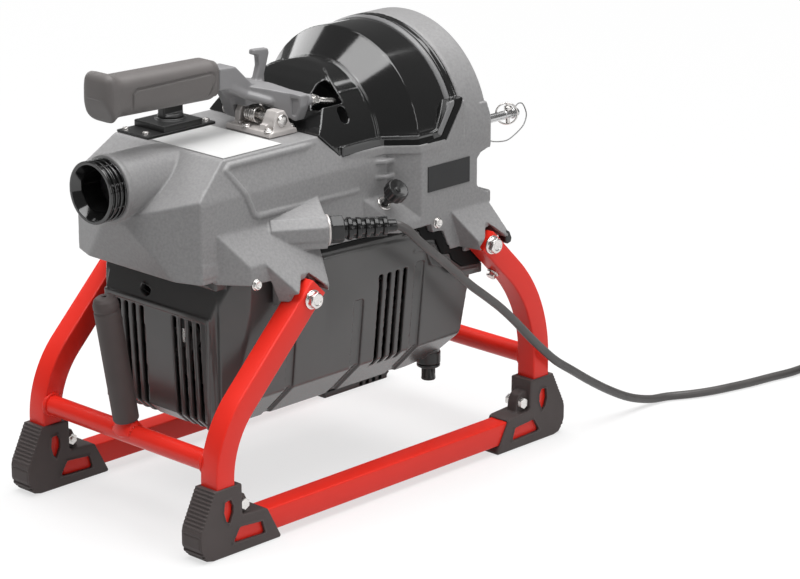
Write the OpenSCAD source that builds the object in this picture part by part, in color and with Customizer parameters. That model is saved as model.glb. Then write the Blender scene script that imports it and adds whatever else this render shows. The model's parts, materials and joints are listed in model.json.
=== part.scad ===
// Sectional drain snake machine on a tube stand.
// Millimetres, +Z up, -Y is the nose end, +X is the side with the mains cord.
// The origin lies on the floor, midway between the feet.

/* [Stand] */
// Side of the square frame tube
tube_s = 25.4; // [24:0.1:26]
// Wall of the square frame tube
tube_wall = 2; // [1.2:0.1:3]
// Distance between the left and right leg centres
track = 277; // [276:0.5:284]
// Distance between the front and rear leg centres at the feet
foot_span = 486.6; // [480:0.2:492]
// Height of the four frame bolts
bolt_h = 250; // [248:0.5:252]
// Distance of the front frame bolts ahead of the origin
front_bolt_y = 118; // [116:0.5:120]
// Distance of the rear frame bolts behind the origin
rear_bolt_y = 158; // [156:0.5:160]
// Bend radius of the front legs
front_bend_r = 110; // [90:1:115]
// Bend radius of the rear legs
rear_bend_r = 160; // [120:1:170]
// Tube length past each frame bolt
leg_end = 16; // [14:0.5:17]
// Frame bolt diameter
bolt_d = 10; // [8:0.5:12]
// Diameter of the round cross tubes
cross_d = 22; // [19:0.5:24]
// Height of the round cross tubes
cross_h = 97; // [95:0.5:101]
// Forward lean of the front post in degrees
post_lean = 10; // [6:0.5:12]
// Length of the front post from its cross tube
post_len = 152; // [130:1:160]
// Diameter of the front post
post_d = 19; // [15:0.5:20]
// Diameter of the rubber sleeve on the front post
sleeve_d = 28; // [25:0.5:31]

/* [Feet] */
// Height of a rubber foot
foot_h = 75.4; // [72:0.2:80]
// Rubber beside the tube
foot_wall = 2.6; // [2:0.1:4]
// Reach of a foot outwards from the leg centre
foot_out = 38.5; // [34:0.5:41]
// Reach of a foot inwards from the leg centre
foot_in = 75.2; // [70:0.2:82]
// Rubber below the tubes
foot_sole = 9.5; // [7:0.5:11]
// Clamp bolt diameter at the feet
clamp_d = 6; // [5:0.5:7]

/* [Upper housing] */
// Height of the cable axis
axis_h = 368.5; // [367:0.5:370]
// Height of the flat top
top_h = 398.4; // [397:0.2:400]
// Width of the flat top
top_w = 168; // [164:1:174]
// Width of the front body
body_w = 196; // [192:1:200]
// Width of the rear block
block_w = 249; // [246:0.5:251]
// Front edge of the rear block behind the origin
block_y = 74.5; // [72:0.5:77]
// Front edge of the arch behind the origin
arch_y = 140; // [138:0.5:142]
// Rear face of the arch behind the origin
rear_y = 181; // [180:0.5:183]
// Front edge of the flat top ahead of the origin
top_front_y = 179; // [176:0.5:182]
// Tip of the snout ahead of the origin
snout_y = 254; // [251:0.5:257]
// Rear end of the flat top ahead of the origin
top_rear_y = 42.5; // [41:0.5:44]
// Wall of the castings
wall = 4; // [3:0.1:4.5]
// Height of the seam between the castings
seam_h = 281.5; // [280:0.5:283]
// Drop of the rear block's lower edge below the seam
block_drop = 29.5; // [28:0.5:31]
// Rise of the front ears above the seam
ear_rise = 43.5; // [42:0.5:45]
// Rise of the knob ledge above the seam
ledge_rise = 36.5; // [35:0.5:38]
// Height of the hood's seat
hood_h = 372; // [370:0.5:374]
// Outer radius of the nose
nose_r = 35; // [34.6:0.2:36.4]

/* [Lower housing] */
// Width of the tub at its top
tub_w = 230; // [226:1:234]
// Height of the tub's flat bottom above the floor
tub_bottom = 97; // [94:0.5:100]
// Width of the front grille panel
grille_w = 166; // [160:1:170]
// Top of the front grille panel
grille_top = 230; // [226:0.5:234]
// Front face of the grille panel ahead of the origin
grille_y = 200; // [198:0.5:202]
// Rear face of the lower housing behind the origin
tub_rear_y = 172; // [170:0.5:175]
// Thickness of the gasket between the castings
gasket_t = 4; // [3:0.2:5]
// Width of a cooling slot
slot_w = 5; // [3:0.2:6]
// Spacing of the cooling slots
slot_pitch = 12.3; // [10:0.1:13]

/* [Hood] */
// Radius of the hood's drum
drum_r = 121; // [119:0.5:122]
// Radius of the hood's front rim
rim_r = 90; // [87:0.5:93]
// Position of the front rim behind the origin
rim_y = 22; // [20:0.5:25]
// Hood wall
hood_wall = 3; // [2:0.2:3.6]

/* [Front coupling] */
// Radius of the coupling's ribs
coupling_r = 33; // [31:0.2:34]
// Bore radius of the coupling
coupling_bore_r = 24; // [23:0.5:26]
// Length of the coupling outside the nose
coupling_len = 21.6; // [20:0.2:23]

/* [Operating lever] */
// Height of the lever pivot above the flat top
pivot_rise = 16; // [15:0.5:17]
// Position of the lever pivot ahead of the origin
pivot_y = 66; // [64:0.5:68]
// Diameter of the pivot pin
pivot_d = 9; // [8:0.5:10]
// Height of the grip's axis at its rear end
grip_h = 461; // [459:0.5:464]
// Rear end of the grip ahead of the origin
grip_rear_y = 116; // [114:0.5:118]
// Length of the grip
grip_len = 159; // [152:0.5:162]
// Diameter of the grip
grip_d = 43; // [40:0.5:45]
// Rise of the grip towards the front in degrees
grip_rise = 1.7; // [1:0.1:3]
// Half width of the yoke at its arm ends
yoke_x = 58; // [56:0.5:60]
// Wire diameter of the torsion spring
spring_wire = 2.4; // [1.8:0.1:2.8]
// Curls of the torsion spring
spring_curls = 5; // [3:1:6]

/* [Controls] */
// Side of the square switch block
switch_s = 48; // [44:0.5:49]
// Height of the square switch block
switch_t = 8; // [6:0.5:10]
// Width of the switch plate
switch_plate_w = 50; // [49.5:0.5:52]
// Length of the switch plate
switch_plate_l = 86; // [80:0.5:87]
// Thickness of the thin plates
plate_t = 1.2; // [0.8:0.1:2]
// Distance of the switch left of the centre
switch_x = 59; // [56:0.5:59]
// Position of the switch ahead of the origin
switch_y = 122; // [119:0.5:124]
// Switch knob height
selector_h = 20; // [16:0.5:24]
// Side knob radius
knob_r = 13; // [11:0.2:14]

/* [Cord] */
// Diameter of the mains cord
cord_d = 10; // [9:0.5:10.5]
// Outward angle of the cord boss in degrees
boss_turn = 32; // [31:1:33]
// Radius of the cord boss
boss_r = 17; // [16:0.5:18]
// Space between loops of the coil
loop_gap = 0.8; // [0.7:0.1:1.2]

/* [Drive] */
// Outer radius of the hollow spindle
spindle_r = 19; // [18:0.5:20]
// Bore radius of the hollow spindle
spindle_bore_r = 14.5; // [13:0.5:15]
// Height of the motor shaft
motor_h = 186; // [183:0.5:189]
// Radius of the motor stator
stator_r = 70; // [64:0.5:72]
// Radius of the motor shaft
shaft_r = 8; // [6:0.5:9]
// Pitch radius of the spindle pulley
big_pulley_r = 62; // [58:0.5:66]
// Pitch radius of the motor pulley
small_pulley_r = 25; // [22:0.5:28]
// Belt width
belt_w = 14; // [10:0.5:15]
// Belt thickness
belt_t = 6; // [4:0.5:7]

/* [Hidden] */
$fn = 64;
// Gap where two fixed pieces meet loosely
gap = 0.3;
// Radial clearance of a running fit
run_gap = 0.06;
// Reach of a cut past a surface
cut = 1;
// Half the size of a cutting block
big = 400;

leg_x = track / 2;
foot_y = foot_span / 2;
leg_out_x = leg_x + tube_s / 2;
leg_in_x = leg_x - tube_s / 2;
rail_h = foot_sole + tube_s / 2;
pivot_h = top_h + pivot_rise;

// Height of the ridge between the sloped and the upright side of the front body
ridge_h = top_h - 39.4;
// Chin edge of the snout
chin_y = 233.3;
chin_h = seam_h - 6.5;
snout_top = top_h - 0.788 * (snout_y - top_front_y);
// Corner where the snout's flank meets the side wall
flank_y = 222;
flank_slope = 0.39;
nose_end_y = 264;
block_bottom = seam_h - block_drop;
body_half = body_w / 2;
block_half = block_w / 2;

// Base of the upper housing: half widths along its length, from the nose to the rear
base_outline = [[body_half, -flank_y], [body_half + 1, -150], [body_half + 5, -54], [block_half - 7.5, 95],
  [block_half, 112], [block_half, 178]];

// Outline helpers

// A half outline on +X and its mirror image as one closed outline
function both_sides(half) = concat(half, [for (i = [len(half) - 1 : -1 : 0]) [-half[i][0], half[i][1]]]);

// Prism of a side view, given as [y, z] points, w wide and centred on x
module side_prism(points, w, x = 0) {
  translate([x - w / 2, 0, 0]) rotate([90, 0, 90]) linear_extrude(w) polygon(points);
}

// Prism of a cross section, given as [x, z] points, from y0 to y1
module cross_prism(points, y0, y1) {
  translate([0, y1, 0]) rotate([90, 0, 0]) linear_extrude(y1 - y0) polygon(points);
}

// Prism of a plan, given as [x, y] points, from z0 to z1
module plan_prism(points, z0, z1) {
  translate([0, 0, z0]) linear_extrude(z1 - z0) polygon(points);
}

// Round bar along X, Y or Z, starting at its low end
module bar_x(p, len, r) { translate(p) rotate([0, 90, 0]) cylinder(r = r, h = len); }
module bar_y(p, len, r) { translate(p) rotate([-90, 0, 0]) cylinder(r = r, h = len); }
module bar_z(p, len, r) { translate(p) cylinder(r = r, h = len); }

// Turned shape about the Y axis through the cable axis, from [radius, y] points
module turned(points) {
  translate([0, 0, axis_h]) rotate([-90, 0, 0]) rotate_extrude($fn = 96) polygon(points);
}

// Shape on the right and its mirror image on the left
module pair() {
  children();
  mirror([1, 0, 0]) children();
}

// Hexagon head along X, flats f across
module hex_x(p, h, f) {
  translate(p) rotate([0, 90, 0]) cylinder(d = f / cos(30), h = h, $fn = 6);
}

// Tube stand

// Leg of square section s: upright from base, bent inwards and ending past the frame bolt
module leg_solid(s, bolt_y, bend_r, base, end) {
  knee_h = bolt_h - (foot_y - bolt_y);
  tangent = bend_r * tan(22.5);
  run = (foot_y - bolt_y) * sqrt(2) - tangent;
  translate([leg_x, -foot_y + bend_r, knee_h - tangent]) rotate([90, 0, -90]) union() {
    translate([bend_r - s / 2, base - knee_h + tangent, -s / 2]) cube([s, knee_h - tangent - base, s]);
    rotate_extrude(angle = 45, $fn = 96) translate([bend_r - s / 2, -s / 2]) square(s);
    rotate([0, 0, 45]) translate([bend_r - s / 2, 0, -s / 2]) cube([s, run + end, s]);
  }
}

module leg(bolt_y, bend_r) {
  difference() {
    leg_solid(tube_s, bolt_y, bend_r, foot_sole, leg_end);
    leg_solid(tube_s - 2 * tube_wall, bolt_y, bend_r, foot_sole + tube_s, leg_end + cut);
    bar_x([0, -bolt_y, bolt_h], leg_x + tube_s, bolt_d / 2 + run_gap);
  }
}

module right_front_leg() { color("red") leg(front_bolt_y, front_bend_r); }
module left_front_leg() { color("red") mirror([1, 0, 0]) leg(front_bolt_y, front_bend_r); }
module right_rear_leg() { color("red") mirror([0, 1, 0]) leg(rear_bolt_y, rear_bend_r); }
module left_rear_leg() { color("red") mirror([1, 0, 0]) mirror([0, 1, 0]) leg(rear_bolt_y, rear_bend_r); }

module rail() {
  length = foot_span - tube_s;
  inner = tube_s - 2 * tube_wall;
  translate([leg_x, -length / 2, rail_h]) rotate([-90, 0, 0]) linear_extrude(length) difference() {
    square(tube_s, center = true);
    square(inner, center = true);
  }
}

module right_rail() { color("red") rail(); }
module left_rail() { color("red") mirror([1, 0, 0]) rail(); }

module cross_tube(y) {
  length = 2 * leg_in_x;
  difference() {
    bar_x([-leg_in_x, y, cross_h], length, cross_d / 2);
    bar_x([-leg_in_x - cut, y, cross_h], length + 2 * cut, cross_d / 2 - tube_wall);
  }
}

module front_cross_tube() { color("red") cross_tube(-foot_y); }
module rear_cross_tube() { color("red") cross_tube(foot_y); }

// Places its child along the leaning post
module on_post() { translate([0, -foot_y, cross_h]) rotate([post_lean, 0, 0]) children(); }

module front_post() {
  color("red") difference() {
    on_post() cylinder(d = post_d, h = post_len - 4);
    bar_x([-leg_x, -foot_y, cross_h], track, cross_d / 2);
  }
}

module post_sleeve() {
  bottom = cross_d / 2 + 5;
  round_r = sleeve_d / 2 - 4;
  color("dimgray") on_post() difference() {
    rotate_extrude() intersection() {
      union() {
        translate([0, bottom]) square([sleeve_d / 2, post_len + 8 - round_r - bottom]);
        translate([sleeve_d / 2 - round_r, post_len + 8 - round_r]) circle(round_r);
        translate([0, post_len]) square([sleeve_d / 2 - round_r, 8]);
      }
      square([sleeve_d, post_len + 9]);
    }
    translate([0, 0, -cut]) cylinder(d = post_d, h = post_len - 4 + cut);
    cylinder(r = 2, h = post_len + 10);
  }
}

// Rubber foot at the right front, around the leg and the end of the rail
module foot() {
  half = tube_s / 2 + foot_wall;
  w = 2 * half;
  toe_top = foot_sole + tube_s + foot_wall;
  profile = [
    [-18.3, foot_h], [-foot_out, 35], [-foot_out, 10], [-20, 0], [foot_in, 0],
    [foot_in - 19, toe_top], [21, toe_top + 2], [20.6, foot_h]
  ];
  difference() {
    translate([0, -foot_y, 0]) union() {
      side_prism(profile, w, leg_x);
      side_prism([[18, toe_top - 2], [36, toe_top - 2], [33, toe_top + 19], [18, toe_top + 24]], 14, leg_x);
    }
    translate([leg_in_x, -foot_y - tube_s / 2, foot_sole]) cube([tube_s, tube_s, foot_h]);
    translate([leg_in_x, -foot_y, foot_sole]) cube([tube_s, foot_in + cut, tube_s]);
    // Windows in both sides
    translate([0, -foot_y, 0])
      side_prism([[15, 28.5], [47, 26], [52, 11], [5, 12.5]], w + 2 * cut, leg_x);
    translate([leg_x - w, -foot_y + 1, 48.5]) rotate([0, 90, 0]) rotate([0, 0, 20])
      linear_extrude(2 * w) intersection() {
        translate([0, 10]) circle(17);
        translate([0, -10]) circle(17);
      }
    bar_x([leg_x - w, -clamp_y, clamp_h], 2 * w, clamp_d / 2 + run_gap);
    // Grip ridges on the outer end
    for (i = [0 : 6])
      translate([leg_x - w, -foot_y - 18.3 - 1.2 - i * 2.75, foot_h - 4 - i * 5.5])
        rotate([27, 0, 0]) cube([2 * w, 2, 2.6], center = false);
  }
}

module right_front_foot() { color("dimgray") foot(); }
module left_front_foot() { color("dimgray") mirror([1, 0, 0]) foot(); }
module right_rear_foot() { color("dimgray") mirror([0, 1, 0]) foot(); }
module left_rear_foot() { color("dimgray") mirror([1, 0, 0]) mirror([0, 1, 0]) foot(); }

// Upper housing

// Front body drawn in by d on its upper faces
module front_body(d, bottom) {
  bw = body_w / 2 - d;
  tip_x = bw - (snout_y - flank_y) / flank_slope;
  section = both_sides([[bw, bottom], [bw, ridge_h], [top_w / 2 - 0.8 * d, top_h - d]]);
  view = [
    [block_y, bottom], [block_y, hood_h], [-top_rear_y + 26 + d, hood_h], [-top_rear_y + d, top_h - d],
    [-top_front_y + 0.35 * d, top_h - d], [-snout_y + d, snout_top - 0.5 * d],
      [-snout_y + d, snout_top - 8],
    [-chin_y + d, chin_h], [-chin_y + d, bottom]
  ];
  plan = both_sides([[bw, block_y], [bw, -flank_y + 0.8 * d], [tip_x, -snout_y + 0.8 * d]]);
  intersection() {
    cross_prism(section, -snout_y, block_y);
    side_prism(view, body_w);
    plan_prism(plan, bottom, top_h);
  }
}

// Rear block and arch drawn in by d
module rear_block(d, bottom) {
  half = block_w / 2 - d;
  step = (block_w - body_w) / 2;
  plan = both_sides([[half, rear_y - d], [half, block_y + 0.41 * d],
    [body_w / 2 - d, block_y - step + 0.41 * d]]);
  plan_prism(plan, bottom, hood_h);
  intersection() {
    bar_y([0, arch_y - (d > 0 ? cut : 0), axis_h], rear_y - arch_y - d + (d > 0 ? cut : 0), half);
    translate([-big, 0, axis_h]) cube(2 * big);
  }
}

// Cast ear over a leg end, from its sloped section and its plan
module shoulder(section, plan, z0, z1) {
  intersection() {
    cross_prism(section, -big, big);
    plan_prism(plan, z0, z1);
  }
}

front_ear_top = seam_h + ear_rise;
rear_ear_top = bolt_h + 41;
ear_x = leg_out_x + 0.8;
// Lower faces of the ears, and the sloped edge over the legs
ear_floor = seam_h - 9.5;
rear_ear_floor = bolt_h + 2;
ear_edge = bolt_h + 11;

module front_shoulder() {
  inner = body_w / 2 - wall;
  shoulder(
    [[inner, front_ear_top + 4.7], [body_half, front_ear_top], [ear_x, ear_edge], [ear_x, ear_edge - 7],
      [leg_in_x, ear_edge - 7], [leg_in_x - gap, ear_floor], [inner, ear_floor]],
    [[inner, -201.6], [body_w / 2, -201.6], [leg_in_x, -180], [leg_in_x, -160], [ear_x, -138], [ear_x, -93],
      [129, -82], [inner, -67]],
    ear_edge - 7, front_ear_top + 4.7);
}

module rear_shoulder() {
  inner = block_half - 1;
  shoulder(
    [[inner, rear_ear_top + 1.2], [block_half, rear_ear_top], [ear_x, rear_ear_floor + 6.5],
      [ear_x, rear_ear_floor], [inner, rear_ear_floor]],
    [[inner, 119.6], [block_w / 2, 119.6], [ear_x, 136], [ear_x, 186], [block_w / 2, rear_y],
      [inner, rear_y]],
    rear_ear_floor, rear_ear_top + 1.2);
}

// Room for a leg end inside an ear
module leg_room(bolt_y, side) {
  s = tube_s + 2 * gap;
  mirror([0, side, 0]) translate([leg_in_x, -bolt_y, bolt_h]) rotate([-45, 0, 0])
    translate([0, -s / 2, -90]) cube([tube_s + 40, s, 90 + leg_end + gap]);
}

// Places its child on the cord boss, with +Z along the boss
boss_p = [body_half + 28, -72, seam_h + 28.5];
module on_boss() { translate(boss_p) rotate([0, 0, -boss_turn]) rotate([-90, 0, 0]) children(); }

ledge_top = seam_h + ledge_rise;
knob_p = [body_half + 6, 36, ledge_top - 6.5];
knob_tilt = 46;
module on_knob() { translate(knob_p) rotate([0, knob_tilt, 0]) children(); }

front_bearing_y = 146;
bearing_w = 15;
rear_bearing_y = 165;
bearing_r = top_h - axis_h - wall - 0.5;
hitch_x = 76;
hitch_h = 365;
hitch_r = 5;
bracket_screws = [for (x = [-50, 50], y = [-15.5, 15.5]) [x, y - pivot_y]];
lug_in = 10;
recess_x = 55;

// Edge of the upper housing's underside: stays at the seam, then steps down to the rear block
module below_seam(drop) {
  side_prism([[-62, 100], [-62, seam_h - drop], [95, seam_h - drop], [112, block_bottom - drop],
    [big, block_bottom - drop], [big, 100]], 2 * big);
  side_prism([[-203, 100], [-203, seam_h - drop], [-61, seam_h - drop], [-61, 100]], body_w - 2 * wall);
}

// Lugs for the frame bolts reach from below the bolt to the casting above it
lug_h = bolt_h - 14;
front_lug_top = max(ear_floor + 2, bolt_h + 12);
rear_lug_top = max(block_bottom, bolt_h) + 28;
rear_lug_w = max(leg_in_x, block_half) - leg_in_x + lug_in;

// Lug for a front or a rear frame bolt, or the room for it
module front_lug(d) {
  translate([leg_in_x - 13 - d, -front_bolt_y - 21 - d, lug_h - d])
    cube([13 + 2 * d, 42 + 2 * d, front_lug_top - lug_h + d]);
}

module rear_lug(d) {
  translate([leg_in_x - lug_in - d, rear_bolt_y - 17 - d, lug_h - d])
    cube([rear_lug_w + 2 * d, 34 + 2 * d, rear_lug_top - lug_h + d]);
}

module upper_housing() {
  color("gray") difference() {
    union() {
      difference() {
        union() {
          front_body(0, chin_h);
          rear_block(0, block_bottom);
          plan_prism(both_sides(base_outline), seam_h, seam_h + 9);
        }
        below_seam(0);
      }
      pair() {
        front_shoulder();
        rear_shoulder();
        // Lugs that take the frame bolts
        front_lug(0);
        rear_lug(0);
      }
      // Nose
      intersection() {
        bar_y([0, -nose_end_y, axis_h], nose_end_y - 150, nose_r);
        side_prism([[-nose_end_y, 300], [-nose_end_y, 420], [-214, axis_h + nose_r], [-top_front_y, top_h],
          [-150, top_h], [-150, 300]], 200);
      }
      bar_y([0, -nose_end_y, axis_h], 6, nose_r + 1.2);
      // Cord boss
      intersection() {
        on_boss() translate([0, 0, -62]) rotate([0, 0, 22.5])
          cylinder(r = boss_r / cos(22.5), h = 62, $fn = 8);
        translate([body_w / 2 - wall, -big, 0]) cube(2 * big);
      }
      // Knob ledge
      shoulder(
        [[body_w / 2 - wall, ledge_top], [body_w / 2, ledge_top], [block_half + 2, ledge_top - 30],
          [block_half + 2, seam_h],
          [body_w / 2 - wall, seam_h]],
        [[body_w / 2 - wall, 16.5], [body_w / 2, 16.5], [block_w / 2, 44], [block_w / 2, block_y],
          [body_w / 2 - wall, 48]],
        seam_h, ledge_top);
      // Two ribs in the step
      for (z = [355, 338])
        plan_prism([[body_w / 2, 27], [104, 40], [104, 54], [body_w / 2 - wall, 48],
          [body_w / 2 - wall, 27]],
          z, z + 5);
    }
    difference() {
      union() {
        front_body(wall, seam_h - 10);
        rear_block(wall, block_bottom - cut);
        plan_prism(both_sides([for (p = base_outline) [p[0] - wall, p[1] - 2 * sign(p[1])]]),
          seam_h - cut, seam_h + 9 - wall);
      }
      // Walls that carry the bearings
      translate([-36, -front_bearing_y - 3, seam_h + 8]) cube([72, bearing_w + 3, big]);
      bar_y([0, rear_bearing_y, axis_h], big, bearing_r + 10);
      // Walls behind the rear recesses and the hitch
      pair() translate([recess_x - wall, rear_y - 18 - wall, 294]) cube([big, 60, 62]);
      bar_y([hitch_x, rear_y - 16, hitch_h], 40, hitch_r + 5);
      pair() rear_lug(0);
    }
    // Cable passage, bearing seats and coupling socket
    bar_y([0, -nose_end_y - cut, axis_h], nose_end_y + cut - front_bearing_y, coupling_bore_r);
    bar_y([0, -front_bearing_y, axis_h], bearing_w + cut, bearing_r + run_gap);
    bar_y([0, rear_bearing_y - cut, axis_h], bearing_w + cut, bearing_r + run_gap);
    bar_y([0, rear_bearing_y, axis_h], big, spindle_r + 2);
    bar_y([0, -nose_end_y - cut, axis_h], socket_l + cut, coupling_bore_r + 5 + run_gap);
    // Recesses in the rear face
    pair() translate([recess_x, 0, 0]) side_prism([[rear_y + cut, 300], [rear_y - 12, 306],
      [rear_y - 18, 312],
      [rear_y - 18, 342], [rear_y - 12, 348], [rear_y + cut, 352]], 160, 80);
    pair() {
      leg_room(front_bolt_y, 0);
      leg_room(rear_bolt_y, 1);
      for (y = [-front_bolt_y, rear_bolt_y])
        bar_x([leg_in_x - lug_in + 1.5, y, bolt_h], 60, bolt_d / 2);
    }
    on_boss() translate([0, 0, -70]) cylinder(r = cord_d / 2 + gap, h = 70 + cut);
    on_boss() translate([0, 0, -12]) cylinder(r = gland_r, h = 12 + cut);
    on_knob() translate([0, 0, -knob_depth]) cylinder(r = knob_stem_r + run_gap, h = 40);
    for (p = bracket_screws) bar_z([p[0], p[1], top_h - 12], 20, 3);
    translate([-switch_x - switch_body_s / 2, -switch_y - switch_body_s / 2, top_h - 2 * wall])
      cube([switch_body_s, switch_body_s, 4 * wall]);
    bar_y([hitch_x, rear_y - 12, hitch_h], 40, hitch_r);
  }
}

socket_l = 14;
gland_r = 12;
knob_stem_r = 4;
knob_depth = 14;
switch_body_s = 38;

// Lower housing

tub_top = seam_h - gasket_t;
tub_half = tub_w / 2;
panel_half = grille_w / 2;
pillar_top = ear_floor - gap;
// Outline of the joint between the castings
seam_rear_x = block_half - 2.5;
seam_front_x = body_half - 4.5;
seam_outline = [[seam_front_x, -200], [seam_front_x, -61.5], [body_half + 3, -56], [block_half - 9.5, 94],
  [seam_rear_x, 112], [seam_rear_x, 174]];
// Width of the joint, with 3 mm left inside the lugs of the rear bolts
seam_ring = max(7, seam_rear_x - leg_in_x + lug_in + gap + 3);
tub_step = seam_h - block_bottom;

// Band along the seam, from drop0 to drop1 below it
module seam_band(drop0, drop1, w) {
  side = [[-202, seam_h - drop1], [-202, seam_h - drop0], [95 - 0.3 * drop0, seam_h - drop0],
    [112 - 0.3 * drop0, block_bottom - drop0], [180, block_bottom - drop0], [180, block_bottom - drop1],
    [112 - 0.3 * drop1, block_bottom - drop1], [95 - 0.3 * drop1, seam_h - drop1]];
  intersection() {
    side_prism(side, 2 * big);
    difference() {
      plan_prism(both_sides(seam_outline), seam_h - 130, seam_h + 20);
      plan_prism(both_sides([for (p = seam_outline)
        [p[0] - w, p[1] - w * sign(p[1])]]), seam_h - 140, seam_h + 30);
    }
  }
}

module housing_gasket() {
  color("black") difference() {
    seam_band(0, gasket_t, seam_ring);
    pair() rear_lug(gap);
  }
}

// Tub drawn in by d, with its drafted sides, sloped ends and chamfered bottom
module tub(d) {
  section = both_sides([[62 - 0.4 * d, tub_bottom + d], [tub_half - 14.5 - d, 145 + 0.4 * d],
    [tub_half - d, pillar_top + d]]);
  view = [[-grille_y + 18 + d, pillar_top + d], [-grille_y + d, grille_top + 0.4 * d],
    [-grille_y + 6 + d, 112],
    [-grille_y + 22 + d, tub_bottom + d], [112, tub_bottom + d], [151 - d, 104 + d], [163 - d, 141],
    [tub_rear_y - d, block_bottom - 37], [tub_rear_y - d, block_bottom - gasket_t - 5 + d],
    [106, block_bottom - gasket_t - 5 + d], [88, pillar_top + d]];
  plan = both_sides([[panel_half - d, -grille_y + d], [panel_half + 2 - d, -grille_y + 8 + d],
    [panel_half + 7 - d, -grille_y + 8 + d], [112 - d, -168 + 0.4 * d], [106 - d, -54], [tub_half - d, 95],
    [tub_half - d, tub_rear_y - d]]);
  intersection() {
    cross_prism(section, -big, big);
    side_prism(view, 2 * big);
    plan_prism(plan, tub_bottom + d, 300);
  }
}

module lower_housing() {
  drain = [drain_p[0], drain_p[1]];
  color("gray") difference() {
    union() {
      difference() {
        tub(0);
        tub(wall);
      }
      seam_band(gasket_t, gasket_t + 14, seam_ring);
      // Bars beside the side slots
      pair() for (y = [-24, 80]) intersection() {
        translate([60, y, 128]) cube([60, 9, 104]);
        cross_prism([[60, 100], [66, 100], [tub_half - 12.5, 145], [tub_half, pillar_top],
          [60, pillar_top]],
          -big, big);
      }
      bar_z([drain[0], drain[1], drain_p[2]], 22, 13);
      // Saddle under the motor
      for (y = [-80, 20]) translate([-44, y, tub_bottom]) cube([88, 24, 22]);
    }
    // Cooling slots
    for (s = [-1, 1], i = [0 : 3])
      translate([s * (26 + i * slot_pitch) - slot_w / 2, -grille_y - 5, 110]) cube([slot_w, 22, 112]);
    pair() for (i = [0 : 3])
      translate([80, 24 + i * slot_pitch, 134]) cube([60, slot_w, 98]);
    // Oval eye above the grille
    translate([0, -grille_y - 10, ear_floor - 22]) rotate([-90, 0, 0]) linear_extrude(40) union() {
      circle(5);
      translate([-6, 0]) circle(5);
      translate([-6, -5]) square([6, 10]);
    }
    bar_z([drain[0], drain[1], drain_p[2] - cut], 40, drain_r + run_gap);
    intersection() {
      tub(wall);
      bar_z([drain[0], drain[1], 0], big, 14);
    }
    motor_room();
    pair() {
      front_lug(gap);
      rear_lug(gap);
    }
  }
}

drain_p = [60, 146, 95];
drain_r = 7;

// Room for the motor above its saddle
module motor_room() { bar_y([0, -140, motor_h], 220, stator_r + run_gap); }

module skid_plate() {
  color("black") difference() {
    translate([-58, -24, tub_bottom - 7]) cube([116, 112, 7]);
    translate([-44, -cut - 24, tub_bottom - 8]) cube([88, 114, 4]);
  }
}

// Hood over the clutch

module hood_shape(d) {
  bottom = hood_h - (d > 0 ? cut : 0);
  skirt = hood_h + 11 - d;
  front = -top_rear_y + gap + d;
  under = d > 0 ? 8 : 26;
  intersection() {
    turned([[0, -38 + d], [30 - d, -38 + d], [rim_r - d, rim_y], [rim_r + 2 - d, rim_y + 20],
      [drum_r - d, block_y], [drum_r - d, arch_y - gap + (d > 0 ? cut : 0)],
      [0, arch_y - gap + (d > 0 ? cut : 0)]]);
    side_prism([[front + under, bottom], [front, top_h], [front, 600], [200, 600], [200, bottom]], 2 * big);
  }
  plan_prism(both_sides([[95 - d, front + 26], [95 - d, 42], [drum_r + 1 - d, block_y - 2.5],
    [drum_r + 1 - d, arch_y - gap + (d > 0 ? cut : 0)]]), bottom, skirt);
  intersection() {
    cross_prism(both_sides([[93 - d, bottom], [91 - d, skirt], [83.5 - d, top_h],
      [72 - d, 424 - d]]), -big, big);
    side_prism([[front + under, bottom], [front, top_h], [-20 + d, 424 - d], [40, 424 - d],
      [40, bottom]], 2 * big);
  }
}

module clutch_hood() {
  color("black") difference() {
    union() {
      hood_shape(0);
      intersection() {
        turned([[drum_r - 1, 130.5], [drum_r + 4, 130.5], [drum_r + 4, arch_y - gap],
          [drum_r - 1, arch_y - gap]]);
        translate([-big, -big, hood_h + 6]) cube(2 * big);
      }
      // Rim band
      intersection() {
        turned([[rim_r - 2, rim_y], [rim_r + 1.5, rim_y], [rim_r + 3, rim_y + 20],
          [rim_r - 2, rim_y + 20]]);
        translate([-big, -big, hood_h]) cube(2 * big);
      }
    }
    hood_shape(hood_wall);
    // Openings for the link rods
    pair() translate([44, -34, 417]) cube([32, 54, 32]);
  }
}

// Cable passage and its drive

module front_coupling() {
  tip = -nose_end_y - coupling_len;
  step = coupling_len / 21.6;
  neck = coupling_r - 3.4;
  color("black") turned([
    [coupling_bore_r, tip + 10], [coupling_r - 3, tip], [coupling_r + 0.3, tip], [neck, tip + 4 * step],
    [neck, tip + 6.6 * step], [coupling_r, tip + 6.6 * step], [coupling_r, tip + 9 * step],
    [neck, tip + 9 * step], [neck, tip + 13.6 * step], [coupling_r, tip + 13.6 * step],
    [coupling_r, tip + 16 * step], [neck, tip + 16 * step], [neck, -nose_end_y - 2],
      [coupling_r, -nose_end_y - 2],
    [coupling_r, -nose_end_y], [coupling_bore_r + 5, -nose_end_y],
      [coupling_bore_r + 5, -nose_end_y + socket_l],
    [coupling_bore_r, -nose_end_y + socket_l]
  ]);
}

spindle_front = front_bearing_y + 8;
spindle_rear = rear_y + 4;
jaw_y = -32;
jaw_l = 20;
jaw_w = 8;
jaw_in = spindle_bore_r + 1.6;
jaw_out = 28;
jaw_gap = 0.2;

module around_spindle(a) { translate([0, 0, axis_h]) rotate([0, a, 0]) children(); }

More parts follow.
